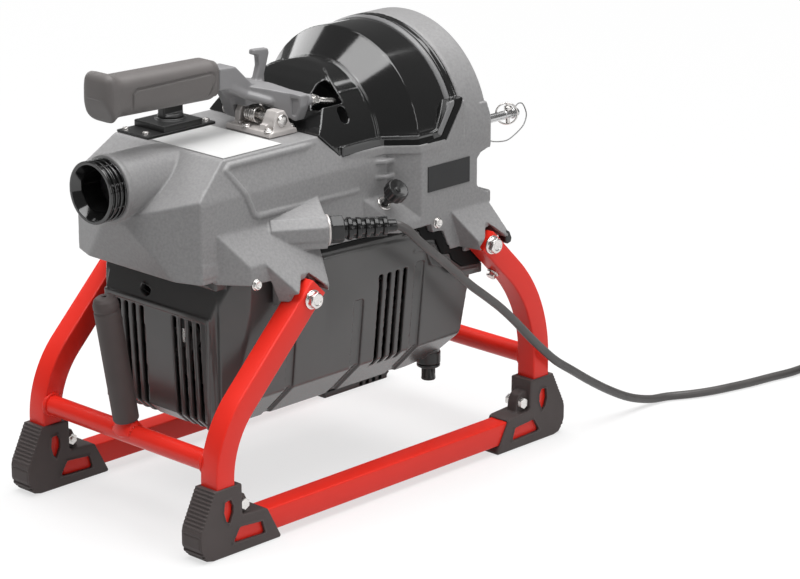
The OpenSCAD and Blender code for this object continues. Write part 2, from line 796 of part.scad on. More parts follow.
module spindle() {
  color("silver") difference() {
    turned([[spindle_bore_r, -spindle_front], [spindle_r, -spindle_front], [spindle_r, spindle_rear],
      [spindle_bore_r, spindle_rear]]);
    for (a = [0, 120, 240]) around_spindle(a)
      translate([0, jaw_y - jaw_gap, -jaw_w / 2 - jaw_gap])
        cube([spindle_r * 2, jaw_l + 2 * jaw_gap, jaw_w + 2 * jaw_gap]);
  }
}

module jaw(a) {
  color("silver") around_spindle(a) difference() {
    translate([jaw_in, jaw_y, -jaw_w / 2]) cube([jaw_out - jaw_in, jaw_l, jaw_w]);
    for (i = [0 : 3]) translate([jaw_in - cut, jaw_y + 2.5 + i * 4.4, -jaw_w])
      cube([cut + 1, 1.8, 2 * jaw_w]);
  }
}

module jaw_1() { jaw(0); }
module jaw_2() { jaw(120); }
module jaw_3() { jaw(240); }

module spindle_bearings() {
  color("silver") for (y = [-front_bearing_y, rear_bearing_y])
    turned([[spindle_r + run_gap, y], [bearing_r, y], [bearing_r, y + bearing_w],
      [spindle_r + run_gap, y + bearing_w]]);
}

module clutch_drum() {
  color("dimgray") turned([
    [spindle_r, 34], [60, 34], [70, 44], [70, 58], [92, 80], [92, 120], [84, 120], [84, 84], [64, 66],
    [spindle_r, 66]
  ]);
}

module thrust_collar() {
  color("gray") difference() {
    turned([[spindle_r + 0.4, 4], [42, 4], [42, 9], [36, 9], [36, 14], [42, 14], [42, 18],
      [spindle_r + 0.4, 18]]);
    for (a = [0 : 60 : 300]) around_spindle(a) bar_y([30, 0, 0], 40, 2.5);
  }
}

belt_y = 141;
pulley_w = belt_w + 6;

// Grooved pulley about the Y axis at height h
module pulley(h, r, hub) {
  translate([0, belt_y, h]) rotate([-90, 0, 0]) rotate_extrude($fn = 96) polygon([
    [hub, -pulley_w / 2], [r + belt_t, -pulley_w / 2], [r + belt_t, -belt_w / 2 - 1],
      [r, -belt_w / 2 - 0.6],
    [r, belt_w / 2 + 0.6], [r + belt_t, belt_w / 2 + 1], [r + belt_t, pulley_w / 2], [hub, pulley_w / 2]
  ]);
}

module driven_pulley() { color("silver") pulley(axis_h, big_pulley_r, spindle_r); }
module motor_pulley() { color("silver") pulley(motor_h, small_pulley_r, shaft_r); }

// Belt: an arc round each pulley and two straight runs
module drive_belt() {
  c = axis_h - motor_h;
  a = asin((big_pulley_r - small_pulley_r) / c);
  run = c * cos(a);
  t = belt_t - 1.4;
  color("black") translate([0, belt_y, axis_h]) rotate([90, 0, 0]) union() {
    rotate([0, 0, -a]) rotate_extrude(angle = 180 + 2 * a, $fn = 96)
      translate([big_pulley_r + 0.4, -belt_w / 2]) square([t, belt_w]);
    translate([0, -c, 0]) rotate([0, 0, 180 + a]) rotate_extrude(angle = 180 - 2 * a, $fn = 96)
      translate([small_pulley_r + 0.4, -belt_w / 2]) square([t, belt_w]);
    pair() rotate([0, 0, -a]) translate([big_pulley_r + 0.4, -run, -belt_w / 2]) cube([t, run, belt_w]);
  }
}

stator_y0 = -128;
stator_y1 = 72;

// Shape turned about the motor shaft, from [radius, y] points
module motor_turned(points) {
  translate([0, 0, motor_h]) rotate([-90, 0, 0]) rotate_extrude($fn = 96) polygon(points);
}

module motor_stator() {
  color("dimgray") motor_turned([
    [shaft_r + run_gap, stator_y0], [30, stator_y0], [stator_r, stator_y0 + 16], [stator_r, stator_y1 - 16],
    [30, stator_y1], [shaft_r + run_gap, stator_y1], [shaft_r + run_gap, stator_y1 - 14],
      [44, stator_y1 - 20],
    [44, stator_y0 + 20], [shaft_r + run_gap, stator_y0 + 14]
  ]);
}

module motor_rotor() {
  color("silver") motor_turned([
    [0, stator_y0 - 34], [shaft_r, stator_y0 - 34], [shaft_r, stator_y0 + 26], [43.4, stator_y0 + 26],
    [43.4, stator_y1 - 26], [shaft_r, stator_y1 - 26], [shaft_r, belt_y + pulley_w / 2 + 2],
    [0, belt_y + pulley_w / 2 + 2]
  ]);
}

module cooling_fan() {
  y = stator_y0 - 24;
  color("black") union() {
    motor_turned([[shaft_r, y - 3], [18, y - 3], [18, y + 12], [60, y + 12], [60, y + 15],
      [shaft_r, y + 15]]);
    for (i = [0 : 7]) translate([0, y, motor_h]) rotate([0, i * 45, 0]) translate([16, 0, -1.5])
      cube([42, 13, 3]);
  }
}

// Operating lever and its bracket

ear_in = 36;
ear_out = 54;
ear_r = 10;
base_t = 5.6;

module bracket_ear(x0, x1) {
  translate([x0, -pivot_y - ear_r, top_h + base_t - 1]) cube([x1 - x0, 2 * ear_r, pivot_rise - base_t + 1]);
  bar_x([x0, -pivot_y, pivot_h], x1 - x0, ear_r);
}

module lever_bracket() {
  color("dimgray") difference() {
    union() {
      translate([-57, -pivot_y - 21, top_h]) cube([114, 42, base_t]);
      bracket_ear(ear_in, ear_out);
      bracket_ear(-ear_out, -ear_in);
      bracket_ear(-8, 0);
    }
    bar_x([-60, -pivot_y, pivot_h], 120, pivot_d / 2);
    for (p = bracket_screws) bar_z([p[0], p[1], top_h - cut], 20, 3);
  }
}

module pivot_pin() {
  color("silver") union() {
    bar_x([-ear_out, -pivot_y, pivot_h], 2 * ear_out, pivot_d / 2);
    pair() bar_x([ear_out, -pivot_y, pivot_h], 2.5, pivot_d / 2 + 2.5);
  }
}

lug_x0 = -29;
lug_x1 = -10;
arm_z0 = 416;
arm_z1 = 440;

module operating_lever() {
  neck = [[-grip_rear_y - 12 * tan(grip_rise), grip_h - 12],
    [-grip_rear_y + 11 * tan(grip_rise), grip_h + 11], [-92, 470], [-70, 447], [-44, arm_z1],
    [-44, arm_z0 + 12], [-pivot_y, arm_z0 + 12], [-84, 438], [-98, 447]];
  arm = [[-8, -70], [8, -70], [56, -40], [63, -40], [63, -28], [54, -28], [40, -36], [8, -46], [-8, -46]];
  color("gray") difference() {
    union() {
      side_prism(neck, 26);
      pair() difference() {
        plan_prism(arm, arm_z0, arm_z1);
        // Panel sunk in the arm's front
        translate([30, -47.5, arm_z0 + 5]) rotate([0, 0, 32]) cube([24, 3, arm_z1 - arm_z0 - 10]);
      }
      translate([lug_x0, -pivot_y - 9, pivot_h]) cube([lug_x1 - lug_x0, 20, arm_z0 + 16 - pivot_h]);
      bar_x([lug_x0, -pivot_y, pivot_h], lug_x1 - lug_x0, ear_r - 0.4);
      // Horn
      side_prism([[-54, arm_z1 - 4], [-40, arm_z1 - 4], [-42, 460], [-34, 475], [-34, 479],
        [-56, 480], [-56, 475],
        [-49, 473], [-50, 460]], 8, -2);
    }
    bar_x([-40, -pivot_y, pivot_h], 80, pivot_d / 2 + run_gap);
    // Room for the spring and the bracket's ears
    bar_x([lug_x1, -pivot_y, pivot_h], 60, 13);
    bar_x([-60, -pivot_y, pivot_h], 60 + lug_x0, 13);
  }
}

// Cross section of the grip, w wide
module grip_section(w) {
  intersection() {
    circle(d = w * 1.06);
    square([w * 0.82, w * 0.98], center = true);
  }
}

module lever_grip() {
  color("black") translate([0, -grip_rear_y, grip_h]) rotate([-grip_rise, 0, 0]) rotate([90, 0, 0])
    union() {
    linear_extrude(grip_len) grip_section(grip_d);
    linear_extrude(7) grip_section(grip_d + 3);
    translate([0, 0, grip_len - 13]) linear_extrude(13) grip_section(grip_d + 10);
  }
}

module link_rods() {
  color("silver") pair() union() {
    bar_y([yoke_x + 1, -28, 431], 32, 4);
    bar_y([yoke_x + 1, 2, 431], 5, 6);
  }
}

// Swept tubes

function unit(v) = v / norm(v);
function heading(p, i) = unit(p[min(i + 1, len(p) - 1)] - p[max(i - 1, 0)]);

// Tube of n sides and radius r along a path, with its rings set against the direction ref
module swept_tube(path, r, n, ref) {
  rings = len(path);
  points = [for (i = [0 : rings - 1])
    let (t = heading(path, i), b = unit(cross(t, ref)), a = cross(b, t))
    for (k = [0 : n - 1]) path[i] + r * (cos(360 * k / n) * a + sin(360 * k / n) * b)];
  walls = [for (i = [0 : rings - 2], k = [0 : n - 1])
    let (p = i * n + k, q = i * n + (k + 1) % n)
    each [[p, q, q + n], [p, q + n, p + n]]];
  ends = [[for (k = [n - 1 : -1 : 0]) k], [for (k = [0 : n - 1]) (rings - 1) * n + k]];
  polyhedron(points, concat(walls, ends));
}

spring_x = 3;
spring_r = 8;
spring_len = spring_curls * (spring_wire + 0.9);
spring_path = concat(
  [[spring_x, -pivot_y - 14, top_h + base_t + spring_wire / 2 + gap],
    [spring_x, -pivot_y - 8, pivot_h - spring_r]],
  [for (i = [0 : 8 * spring_curls + 3]) [spring_x + i * (spring_wire + 0.9) / 8,
    -pivot_y + spring_r * sin(45 * i), pivot_h - spring_r * cos(45 * i)]],
  [[spring_x + spring_len + 1.5, -pivot_y - 2.2, pivot_h + 13.2]]
);

module lever_spring() { color("silver") swept_tube(spring_path, spring_wire / 2, 6, [1, 0, 0]); }

// Switch

switch_top = top_h + plate_t + switch_t;

module switch_plate() {
  color("dimgray") difference() {
    translate([-switch_x - switch_plate_w / 2, -switch_y - switch_plate_l / 2 - 9, top_h])
      cube([switch_plate_w, switch_plate_l, plate_t]);
    translate([-switch_x - switch_body_s / 2, -switch_y - switch_body_s / 2, top_h - cut])
      cube([switch_body_s, switch_body_s, 10]);
    for (y = plate_screw_y) bar_z([-switch_x, y, top_h - cut], 10, 2.5);
  }
}

plate_screw_y = [-switch_y - switch_plate_l / 2, -switch_y + switch_plate_l / 2 - 14.5];

module switch_block() {
  color("dimgray") difference() {
    union() {
      translate([-switch_x - switch_s / 2, -switch_y - switch_s / 2, top_h + plate_t])
        cube([switch_s, switch_s, switch_t]);
      translate([-switch_x - switch_body_s / 2, -switch_y - switch_body_s / 2, top_h - 24])
        cube([switch_body_s, switch_body_s, 24 + plate_t]);
      bar_z([-switch_x, -switch_y, switch_top - cut], cut + 2, 17);
    }
    bar_z([-switch_x, -switch_y, switch_top - 7], 20, 5 + run_gap);
  }
}

module switch_screws() {
  color("silver") for (y = plate_screw_y) difference() {
    union() {
      bar_z([-switch_x, y, top_h + plate_t], 2.4, 4.5);
      bar_z([-switch_x, y, top_h], plate_t, 2.5);
    }
    translate([-switch_x - 3.5, y - 0.6, top_h + plate_t + 1.2]) cube([7, 1.2, 4]);
  }
}

module switch_knob() {
  z = switch_top + 2 + gap;
  color("black") union() {
    bar_z([-switch_x, -switch_y, switch_top - 6], 7 + 2 + gap, 5);
    bar_z([-switch_x, -switch_y, z], 4, 14.5);
    translate([-switch_x - 5.5, -switch_y - 14, z]) cube([11, 28, selector_h]);
  }
}

module top_label() {
  color("white") translate([-30, -174, top_h]) cube([top_w / 2 + 26, 83, 0.5]);
}

module side_plate() {
  color("black") translate([block_half, block_y + 9.2, rear_ear_top + 28]) cube([1, 65.6, 28.2]);
}

// Small hardware

module side_knob() {
  color("black") on_knob() union() {
    translate([0, 0, -knob_depth + 1]) cylinder(r = knob_stem_r, h = knob_depth + 12);
    translate([0, 0, 12]) cylinder(r = 7, h = 7);
    translate([0, 0, 19]) difference() {
      cylinder(r = knob_r, h = 14);
      for (a = [0 : 30 : 330]) rotate([0, 0, a]) translate([knob_r + 1.2, 0, -cut])
        cylinder(r = 2.4, h = 20);
    }
  }
}

module drain_plug() {
  z = drain_p[2];
  color("black") translate([drain_p[0], drain_p[1], 0]) union() {
    translate([0, 0, z - gap]) cylinder(r = drain_r, h = 16);
    translate([0, 0, z - 4]) cylinder(r = 9.5, h = 4 - gap);
    translate([0, 0, z - 20]) cylinder(r1 = 8.5, r2 = 5.5, h = 16);
    for (a = [0 : 60 : 300]) rotate([0, 0, a]) translate([4, -1, z - 20]) cube([5.5, 2, 16]);
  }
}

// Screw with a hexagon head, its head standing on the face at p and its shank going down
module screw_z(p, r, len, f) {
  bar_z([p[0], p[1], p[2] - len], len, r);
  translate(p) cylinder(d = f / cos(30), h = 4, $fn = 6);
}

// Upright face of a front ear, from its floor to its slope
ear_face_top = front_ear_top - (leg_in_x - body_half) * (front_ear_top - ear_edge) / (ear_x - body_half);
ear_screw_h = (ear_face_top + ear_floor) / 2 + 1;

module housing_screws() {
  color("silver") union() {
    for (p = bracket_screws) screw_z([p[0], p[1], top_h + base_t], 3, base_t + 8, 8);
    pair() {
      hex_x([leg_in_x, -171, ear_screw_h], 4, 10);
      hex_x([block_half, 102, block_bottom + 28.4], 4, 10);
    }
  }
}

module frame_bolts() {
  shank = leg_out_x - leg_in_x + lug_in - 1.5;
  color("silver") pair() for (y = [-front_bolt_y, rear_bolt_y]) union() {
    bar_x([leg_in_x - lug_in + 1.5, y, bolt_h], shank, bolt_d / 2);
    bar_x([leg_out_x, y, bolt_h], 2, 10.5);
    hex_x([leg_out_x + 2, y, bolt_h], 7, 16);
  }
}

clamp_y = foot_y - 27.5;
clamp_h = foot_sole + tube_s + foot_wall + 12;

module foot_clamp_bolts() {
  color("silver") for (sx = [0, 1], sy = [0, 1]) mirror([sx, 0, 0]) mirror([0, sy, 0]) union() {
    bar_x([leg_x - 14, -clamp_y, clamp_h], 21, clamp_d / 2);
    hex_x([leg_x + 7, -clamp_y, clamp_h], 5, 11);
    hex_x([leg_x - 12, -clamp_y, clamp_h], 5, 11);
  }
}

// Hitch at the rear
hitch_l = 92;
cross_pin_y = rear_y + hitch_l - 8;
cross_pin_r = 2.5;

module hitch_rod() {
  color("silver") difference() {
    union() {
      bar_y([hitch_x, rear_y - 12, hitch_h], hitch_l + 12, hitch_r);
      bar_y([hitch_x, rear_y, hitch_h], 3, hitch_r + 4);
    }
    bar_z([hitch_x, cross_pin_y, hitch_h - 20], 40, cross_pin_r + run_gap);
  }
}

module quick_pin() {
  color("silver") translate([hitch_x, cross_pin_y, hitch_h]) union() {
    translate([0, 0, -12]) cylinder(r = cross_pin_r, h = 12 + hitch_r + 4);
    translate([0, 0, hitch_r + gap]) cylinder(r = 5.5, h = 4);
    translate([0, 0, hitch_r + 10]) rotate([0, 90, 0]) rotate_extrude() translate([6.5, 0])
      circle(1.2, $fn = 16);
  }
}

lanyard_start = [hitch_x, cross_pin_y + 9, hitch_h + hitch_r + 11];
lanyard_points = [
  lanyard_start, [hitch_x + 1, 284, 376], [hitch_x + 4, 284, 362], [hitch_x + 9, 278, 345],
    [hitch_x + 15, 264, 328],
  [hitch_x + 21, 244, 318], [hitch_x + 27, 222, 315], [hitch_x + 32, 202, 320], [hitch_x + 34, 188, 328],
  [hitch_x + 34, 176, 332], [hitch_x + 34, 164, 333]
];

module pin_lanyard() { color("silver") swept_tube(lanyard_points, 0.9, 6, [1, 0, 0]); }

// Mains cord

nut_l = 18;
relief_l = 58;
boss_dir = [sin(boss_turn), cos(boss_turn), 0];

module gland_nut() {
  color("black") on_boss() difference() {
    union() {
      translate([0, 0, -12]) cylinder(r = gland_r, h = 12);
      cylinder(r = 15.5, h = 4);
      translate([0, 0, 4]) cylinder(d = 27 / cos(30), h = nut_l - 4, $fn = 6);
    }
    translate([0, 0, -13]) cylinder(r = cord_d / 2, h = nut_l + 14);
  }
}

module strain_relief() {
  color("black") on_boss() difference() {
    translate([0, 0, nut_l]) union() {
      cylinder(r1 = 9, r2 = 6.6, h = relief_l);
      for (i = [0 : 4]) translate([0, 0, 4 + i * 10])
        cylinder(r1 = 12 - i * 0.7, r2 = 11.6 - i * 0.7, h = 5);
    }
    cylinder(r = cord_d / 2, h = nut_l + relief_l + 2);
  }
}

cord_r = cord_d / 2;
loop_pitch = cord_d + loop_gap;
relief_end = boss_p + (nut_l + relief_l) * boss_dir;

// Coil on the floor, out of sight past the end of the visible cord
coil_c = [316, 688];
coil_in_r = 45;
coil_turns = 3.125;
coil_layers = 4;
coil_a0 = 167.4;
coil_out_r = coil_in_r + coil_turns * loop_pitch;
layer_steps = 24 * coil_turns;
coil_start = [coil_c[0] + coil_out_r * cos(coil_a0), coil_c[1] + coil_out_r * sin(coil_a0), cord_r];
coil_dir = [sin(coil_a0), -cos(coil_a0), 0];

cord_end = coil_start - 14 * coil_dir;

cord_points = [
  boss_p - 20 * boss_dir, boss_p + 20 * boss_dir, relief_end, relief_end + 10 * boss_dir,
  [174, 16, 305], [175, 34, 292], [172, 60, 270], [170, 88, 247], [168, 122, 217], [167, 156, 187],
  [166, 190, 153], [166, 222, 121], [166, 251, 96], [166, 280, 77], [166, 311, 58], [166, 347, 36],
  [166, 384, 18], [167, 420, 7], [172, 446, cord_r], [186, 471, cord_r], [197, 497, cord_r],
  [205, 526, cord_r], [212, 556, cord_r], [217, 586, cord_r],
    [223, 616, cord_r], coil_start - 64 * coil_dir,
  coil_start - 34 * coil_dir, cord_end
];

// Point of the coil at step i: spirals in and out, climbing a layer in each half turn between
function coil_point(i) =
  let (
    k = floor(i / (layer_steps + 12)),
    j = i - k * (layer_steps + 12),
    inward = k % 2 == 0,
    spiral = min(j, layer_steps) / 24,
    rest = max(j - layer_steps, 0),
    over = min(rest, 12 - rest) / 24,
    way = spiral + over,
    r = inward ? coil_out_r - way * loop_pitch : coil_in_r + way * loop_pitch,
    a = coil_a0 - 15 * i
  )
  [coil_c[0] + r * cos(a), coil_c[1] + r * sin(a), cord_r + (k + rest / 12) * loop_pitch];

coil_steps = coil_layers * layer_steps + (coil_layers - 1) * 12;
coil_end = coil_point(coil_steps);
plug_r = 15;
tail_drop = coil_end[2] - plug_r - 1;
tail_l = 110;
coil_path = concat(
  [cord_end],
  [for (i = [0 : coil_steps]) coil_point(i)],
  [for (i = [1 : 8]) let (f = i / 8)
    coil_end + tail_l * f * coil_dir - [0, 0, tail_drop * f * f * (3 - 2 * f)]],
  [coil_end + (tail_l + 12) * coil_dir - [0, 0, tail_drop]]
);
plug_p = coil_path[len(coil_path) - 1];

// Smallest distance between loops of the coil that aren't neighbours along the cord
loop_space = min([for (i = [0 : 3 : coil_steps - 19], k = [i + 19 : 1 : min(i + 62, coil_steps)])
  norm(coil_path[i] - coil_path[k])]) - cord_d;
echo(loop_space = loop_space);

module power_cord() { color("black") swept_tube(cord_points, cord_r, 10, [1, 0, 0.2]); }
module cord_coil() { color("black") swept_tube(coil_path, cord_r, 6, [0, 0, 1]); }

module coil_tie() {
  a = coil_a0 + 90;
  w = coil_out_r - coil_in_r + cord_d + 0.5 * loop_pitch + 1;
  mid = (coil_out_r + coil_in_r) / 2;
  h = cord_d + (coil_layers - 1) * loop_pitch + gap;
  color("black") translate([coil_c[0], coil_c[1], 0]) rotate([0, 0, a]) translate([mid, -9, 0])
    difference() {
    translate([-w / 2 - 2, 0, 0]) cube([w + 4, 18, h + 2]);
    translate([-w / 2, -cut, -cut]) cube([w, 20, h + cut]);
  }
}

module plug() {
  a = atan2(coil_dir[1], coil_dir[0]);
  color("black") translate(plug_p) rotate([0, 0, a]) rotate([0, 90, 0]) union() {
    cylinder(r1 = 7, r2 = 9, h = 20);
    translate([0, 0, 20]) cylinder(r1 = 11, r2 = plug_r, h = 14);
    translate([0, 0, 34]) cylinder(r = plug_r, h = 12);
    for (y = [-6.4, 6.4]) translate([-3.2, y - 0.8, 46]) cube([6.4, 1.6, 18]);
    translate([-8, 0, 46]) cylinder(r = 2.4, h = 20);
  }
}

upper_housing();
lower_housing();
housing_gasket();
clutch_hood();
front_coupling();
lever_bracket();
pivot_pin();
lever_spring();
switch_plate();
switch_block();
switch_screws();
top_label();
side_plate();
gland_nut();
strain_relief();
power_cord();
cord_coil();
coil_tie();
plug();
skid_plate();
right_front_leg();
left_front_leg();
right_rear_leg();
left_rear_leg();
right_rail();
left_rail();
front_cross_tube();
rear_cross_tube();
front_post();
post_sleeve();
right_front_foot();
left_front_foot();
right_rear_foot();
left_rear_foot();
foot_clamp_bolts();
frame_bolts();
housing_screws();
hitch_rod();
pin_lanyard();
motor_stator();
drive_belt();
spindle_bearings();
operating_lever();
lever_grip();
link_rods();
switch_knob();
spindle();
clutch_drum();
driven_pulley();
motor_rotor();
cooling_fan();
motor_pulley();
thrust_collar();
jaw_1();
jaw_2();
jaw_3();
side_knob();
quick_pin();
drain_plug();
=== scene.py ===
import json
import math

import bmesh
import bpy
import numpy as np
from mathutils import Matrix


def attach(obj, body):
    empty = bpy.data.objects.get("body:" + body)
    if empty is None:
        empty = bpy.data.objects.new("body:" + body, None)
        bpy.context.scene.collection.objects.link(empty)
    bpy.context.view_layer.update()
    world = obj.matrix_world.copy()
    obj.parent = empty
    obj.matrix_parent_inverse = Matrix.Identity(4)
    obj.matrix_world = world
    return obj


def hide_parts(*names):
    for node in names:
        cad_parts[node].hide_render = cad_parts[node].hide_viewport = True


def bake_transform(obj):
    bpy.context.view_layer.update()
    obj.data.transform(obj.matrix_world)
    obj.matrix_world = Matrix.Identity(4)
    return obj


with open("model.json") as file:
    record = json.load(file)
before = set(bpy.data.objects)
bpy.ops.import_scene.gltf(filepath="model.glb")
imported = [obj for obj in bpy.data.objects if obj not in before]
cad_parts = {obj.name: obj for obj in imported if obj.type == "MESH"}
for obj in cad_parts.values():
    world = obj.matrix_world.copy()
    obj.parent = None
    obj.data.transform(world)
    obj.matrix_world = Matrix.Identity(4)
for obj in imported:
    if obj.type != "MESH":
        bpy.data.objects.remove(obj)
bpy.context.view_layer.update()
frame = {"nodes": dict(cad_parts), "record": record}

import openvdb
from mathutils import Vector

# Shapes are written in millimetres, as in the part's source, and become metres when they are meshed.
MM = 0.001
scene = bpy.context.scene
nodes = frame["nodes"]
RIGHT, BACK, UP = (1, 0, 0), (0, 1, 0), (0, 0, 1)

def new_object(name, data):
    """An object in the scene."""
    made = bpy.data.objects.new(name, data)
    scene.collection.objects.link(made)
    return made


def aim(made, place, target):
    """Sets a camera or lamp at a place and turns it to a target."""
    made.location = place
    made.rotation_euler = (Vector(target) - Vector(place)).to_track_quat("-Z", "Y").to_euler()


# Camera at the photograph's viewing angle

camera = new_object("camera", bpy.data.cameras.new("camera"))
aim(camera, (2.3373, -2.2364, 1.2205), (0.0, 0.16871, 0.16251))
camera.data.lens = 138.4
camera.data.sensor_width = 36.0
scene.camera = camera

# Sizes shared with the source

AXIS_H = 368.5
TOP_H = 398.4
HOOD_H = 372.0
SEAM_H = 281.5
BLOCK_BOTTOM = 252.0
LEG_X = 138.5
FOOT_Y = 243.3
BOLT_H = 250.0
TUBE = 25.4
CROSS_H = 97.0
RAIL_H = 22.2
FRONT_BOLT, REAR_BOLT = 118.0, 158.0
DRAIN = (63.5, 149.5, 95.0)
BOSS = np.array([126.0, -72.0, 310.0])
BOSS_TURN = math.radians(32)
BOSS_DIR = np.array([math.sin(BOSS_TURN), math.cos(BOSS_TURN), 0.0])
BOSS_SIDE = np.array([math.cos(BOSS_TURN), -math.sin(BOSS_TURN), 0.0])
BOSS_AXES = (BOSS_SIDE, UP, BOSS_DIR)
# The arch and the hood under it are a little flatter than round
ARCH_RISE = 0.966


# Materials

def tree_of(name):
    """A material with its node tree and shader."""
    made = bpy.data.materials.new(name)
    made.use_nodes = True
    return made, made.node_tree, made.node_tree.nodes["Principled BSDF"]


def add_node(tree, kind, **values):
    """A node with its inputs or settings filled in."""
    made = tree.nodes.new("ShaderNode" + kind)
    for key, value in values.items():
        if key in made.inputs:
            made.inputs[key].default_value = value
        else:
            setattr(made, key, value)
    return made


def noise_of(tree, where, scale, detail=3.0, rough=0.55):
    made = add_node(tree, "TexNoise", Scale=scale, Detail=detail, Roughness=rough)
    tree.links.new(where.outputs["Object"], made.inputs["Vector"])
    return made


def ramp_of(tree, source, low, high, at=(0.3, 0.7)):
    made = add_node(tree, "ValToRGB")
    made.color_ramp.elements[0].position, made.color_ramp.elements[1].position = at
    made.color_ramp.elements[0].color = (*low, 1)
    made.color_ramp.elements[1].color = (*high, 1)
    tree.links.new(source, made.inputs["Fac"])
    return made


def finish_of(name, colour, rough, metal=0.0, tint=0.06, tint_scale=14.0, grain=900.0, bump=0.1, depth=0.0002,
        spread=0.06, edge=0.0, edge_colour=None, soft=0.0008, coat=0.0, ior=1.5):
    """Paint, plastic, rubber or metal with cloudy colour, fine grain, uneven gloss, and edges lightened partly as
    wear and partly as a painted highlight.
    """
    made, tree, shader = tree_of(name)
    wire = tree.links.new
    where = add_node(tree, "TexCoord")
    cloud = noise_of(tree, where, tint_scale, 4.0)
    low = [c * (1 - tint) for c in colour]
    high = [min(1.0, c * (1 + tint)) for c in colour]
    shade = ramp_of(tree, cloud.outputs["Fac"], low, high)
    round_edges = add_node(tree, "Bevel", samples=6, Radius=soft)
    out = shade.outputs["Color"]
    # Edges lighten towards edge_colour: partly wear, partly a painted highlight along every edge.
    if edge:
        geometry = add_node(tree, "NewGeometry")
        wide = add_node(tree, "Bevel", samples=6, Radius=0.0016)
        same = add_node(tree, "VectorMath", operation="DOT_PRODUCT")
        wire(wide.outputs["Normal"], same.inputs[0])
        wire(geometry.outputs["Normal"], same.inputs[1])
        wear_and_highlight = ramp_of(tree, same.outputs["Value"], (edge,) * 3, (0, 0, 0), at=(0.80, 0.985))
        mix = add_node(tree, "Mix", data_type="RGBA")
        wire(wear_and_highlight.outputs["Color"], mix.inputs["Factor"])
        wire(out, mix.inputs["A"])
        mix.inputs["B"].default_value = (*(edge_colour or [min(1, c * 1.6 + 0.05) for c in colour]), 1)
        out = mix.outputs["Result"]
    wire(out, shader.inputs["Base Color"])
    fine = noise_of(tree, where, grain, 2.0, 0.6)
    gloss = add_node(tree, "MapRange")
    gloss.inputs["To Min"].default_value = max(0.02, rough - spread)
    gloss.inputs["To Max"].default_value = min(1.0, rough + spread)
    wire(noise_of(tree, where, tint_scale * 3.1, 5.0).outputs["Fac"], gloss.inputs["Value"])
    wire(gloss.outputs["Result"], shader.inputs["Roughness"])
    relief = add_node(tree, "Bump", Strength=bump, Distance=depth)
    wire(fine.outputs["Fac"], relief.inputs["Height"])
    wire(round_edges.outputs["Normal"], relief.inputs["Normal"])
    wire(relief.outputs["Normal"], shader.inputs["Normal"])
    shader.inputs["Metallic"].default_value = metal
    shader.inputs["IOR"].default_value = ior
    if coat:
        shader.inputs["Coat Weight"].default_value = coat
        shader.inputs["Coat Roughness"].default_value = 0.08
    return made


GREY = finish_of("grey_paint", (0.290, 0.286, 0.288), 0.42, tint=0.10, tint_scale=330, bump=0.4, edge=0.35,
    soft=0.0006)
LEVER = finish_of("lever_paint", (0.262, 0.258, 0.264), 0.40, tint=0.05, grain=1500, bump=0.2, edge=0.35, soft=0.0006)
CAST = finish_of("cast_metal", (0.64, 0.605, 0.585), 0.40, metal=0.35, tint=0.10, tint_scale=40, bump=0.25, edge=0.3,
    soft=0.0005)
TUB = finish_of("tub_plastic", (0.096, 0.094, 0.093), 0.24, tint=0.05, grain=2200, bump=0.04, spread=0.03, edge=0.25,
    soft=0.0005)
BLACK = finish_of("black_plastic", (0.010, 0.010, 0.010), 0.10, tint=0.1, grain=1800, bump=0.02, spread=0.03,
    edge=0.12, soft=0.0005, ior=1.7)
SATIN = finish_of("satin_black", (0.018, 0.018, 0.018), 0.33, tint=0.1, grain=1800, edge=0.2)
BOOT = finish_of("boot_rubber", (0.009, 0.009, 0.009), 0.17, tint=0.12, grain=1500, edge=0.2, soft=0.0004)
GRIP = finish_of("grip_plastic", (0.144, 0.133, 0.129), 0.50, grain=2600, bump=0.3, edge=0.12, soft=0.0005)
RED = finish_of("red_paint", (0.97, 0.030, 0.016), 0.38, tint=0.05, tint_scale=9, grain=420, bump=0.06, depth=0.0003,
    spread=0.05, edge=0.3, edge_colour=(1.0, 0.10, 0.06), soft=0.0006, coat=0.1, ior=1.4)
RUBBER = finish_of("rubber", (0.074, 0.058, 0.056), 0.60, tint=0.1, grain=1500, bump=0.3, depth=0.0003, edge=0.25,
    edge_colour=(0.13, 0.11, 0.105), soft=0.0005)
CORD = finish_of("cord_rubber", (0.088, 0.083, 0.081), 0.38, tint=0.14, tint_scale=40, grain=1500, bump=0.12)
ZINC = finish_of("zinc_steel", (0.72, 0.70, 0.68), 0.26, metal=1.0, tint=0.08, tint_scale=60, bump=0.05, spread=0.1,
    soft=0.0004)
STEEL = finish_of("turned_steel", (0.60, 0.60, 0.60), 0.28, metal=1.0, tint_scale=50, grain=700, bump=0.06,
    spread=0.08, soft=0.0004)
IRON = finish_of("cast_iron", (0.16, 0.16, 0.165), 0.6, metal=0.6, tint=0.15, tint_scale=30, grain=500, bump=0.4,
    depth=0.0004)
LABEL = finish_of("label_white", (0.72, 0.72, 0.715), 0.38, tint=0.02, bump=0.02, soft=0.0002)
TRIM = finish_of("trim_plastic", (0.20, 0.20, 0.202), 0.30, grain=1800, bump=0.04, edge=0.2, soft=0.0004)
SEAL = finish_of("seal_rubber", (0.006, 0.006, 0.006), 0.62, tint=0.1, grain=1500, edge=0.1, soft=0.0004, ior=1.25)
WIRE = finish_of("wire_grey", (0.26, 0.26, 0.26), 0.45, metal=0.3, tint=0.1)
PLATE = finish_of("plate_black", (0.010, 0.010, 0.011), 0.50, tint=0.08, tint_scale=60, grain=2600, bump=0.25,
    edge=0.3)


# Bodies and pieces

def dress(made, body, finish, replaced=()):
    """Material, body and replaced nodes of a piece."""
    made.data.materials.clear()
    made.data.materials.append(finish)
    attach(made, body)
    if replaced:
        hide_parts(*replaced)
    return made


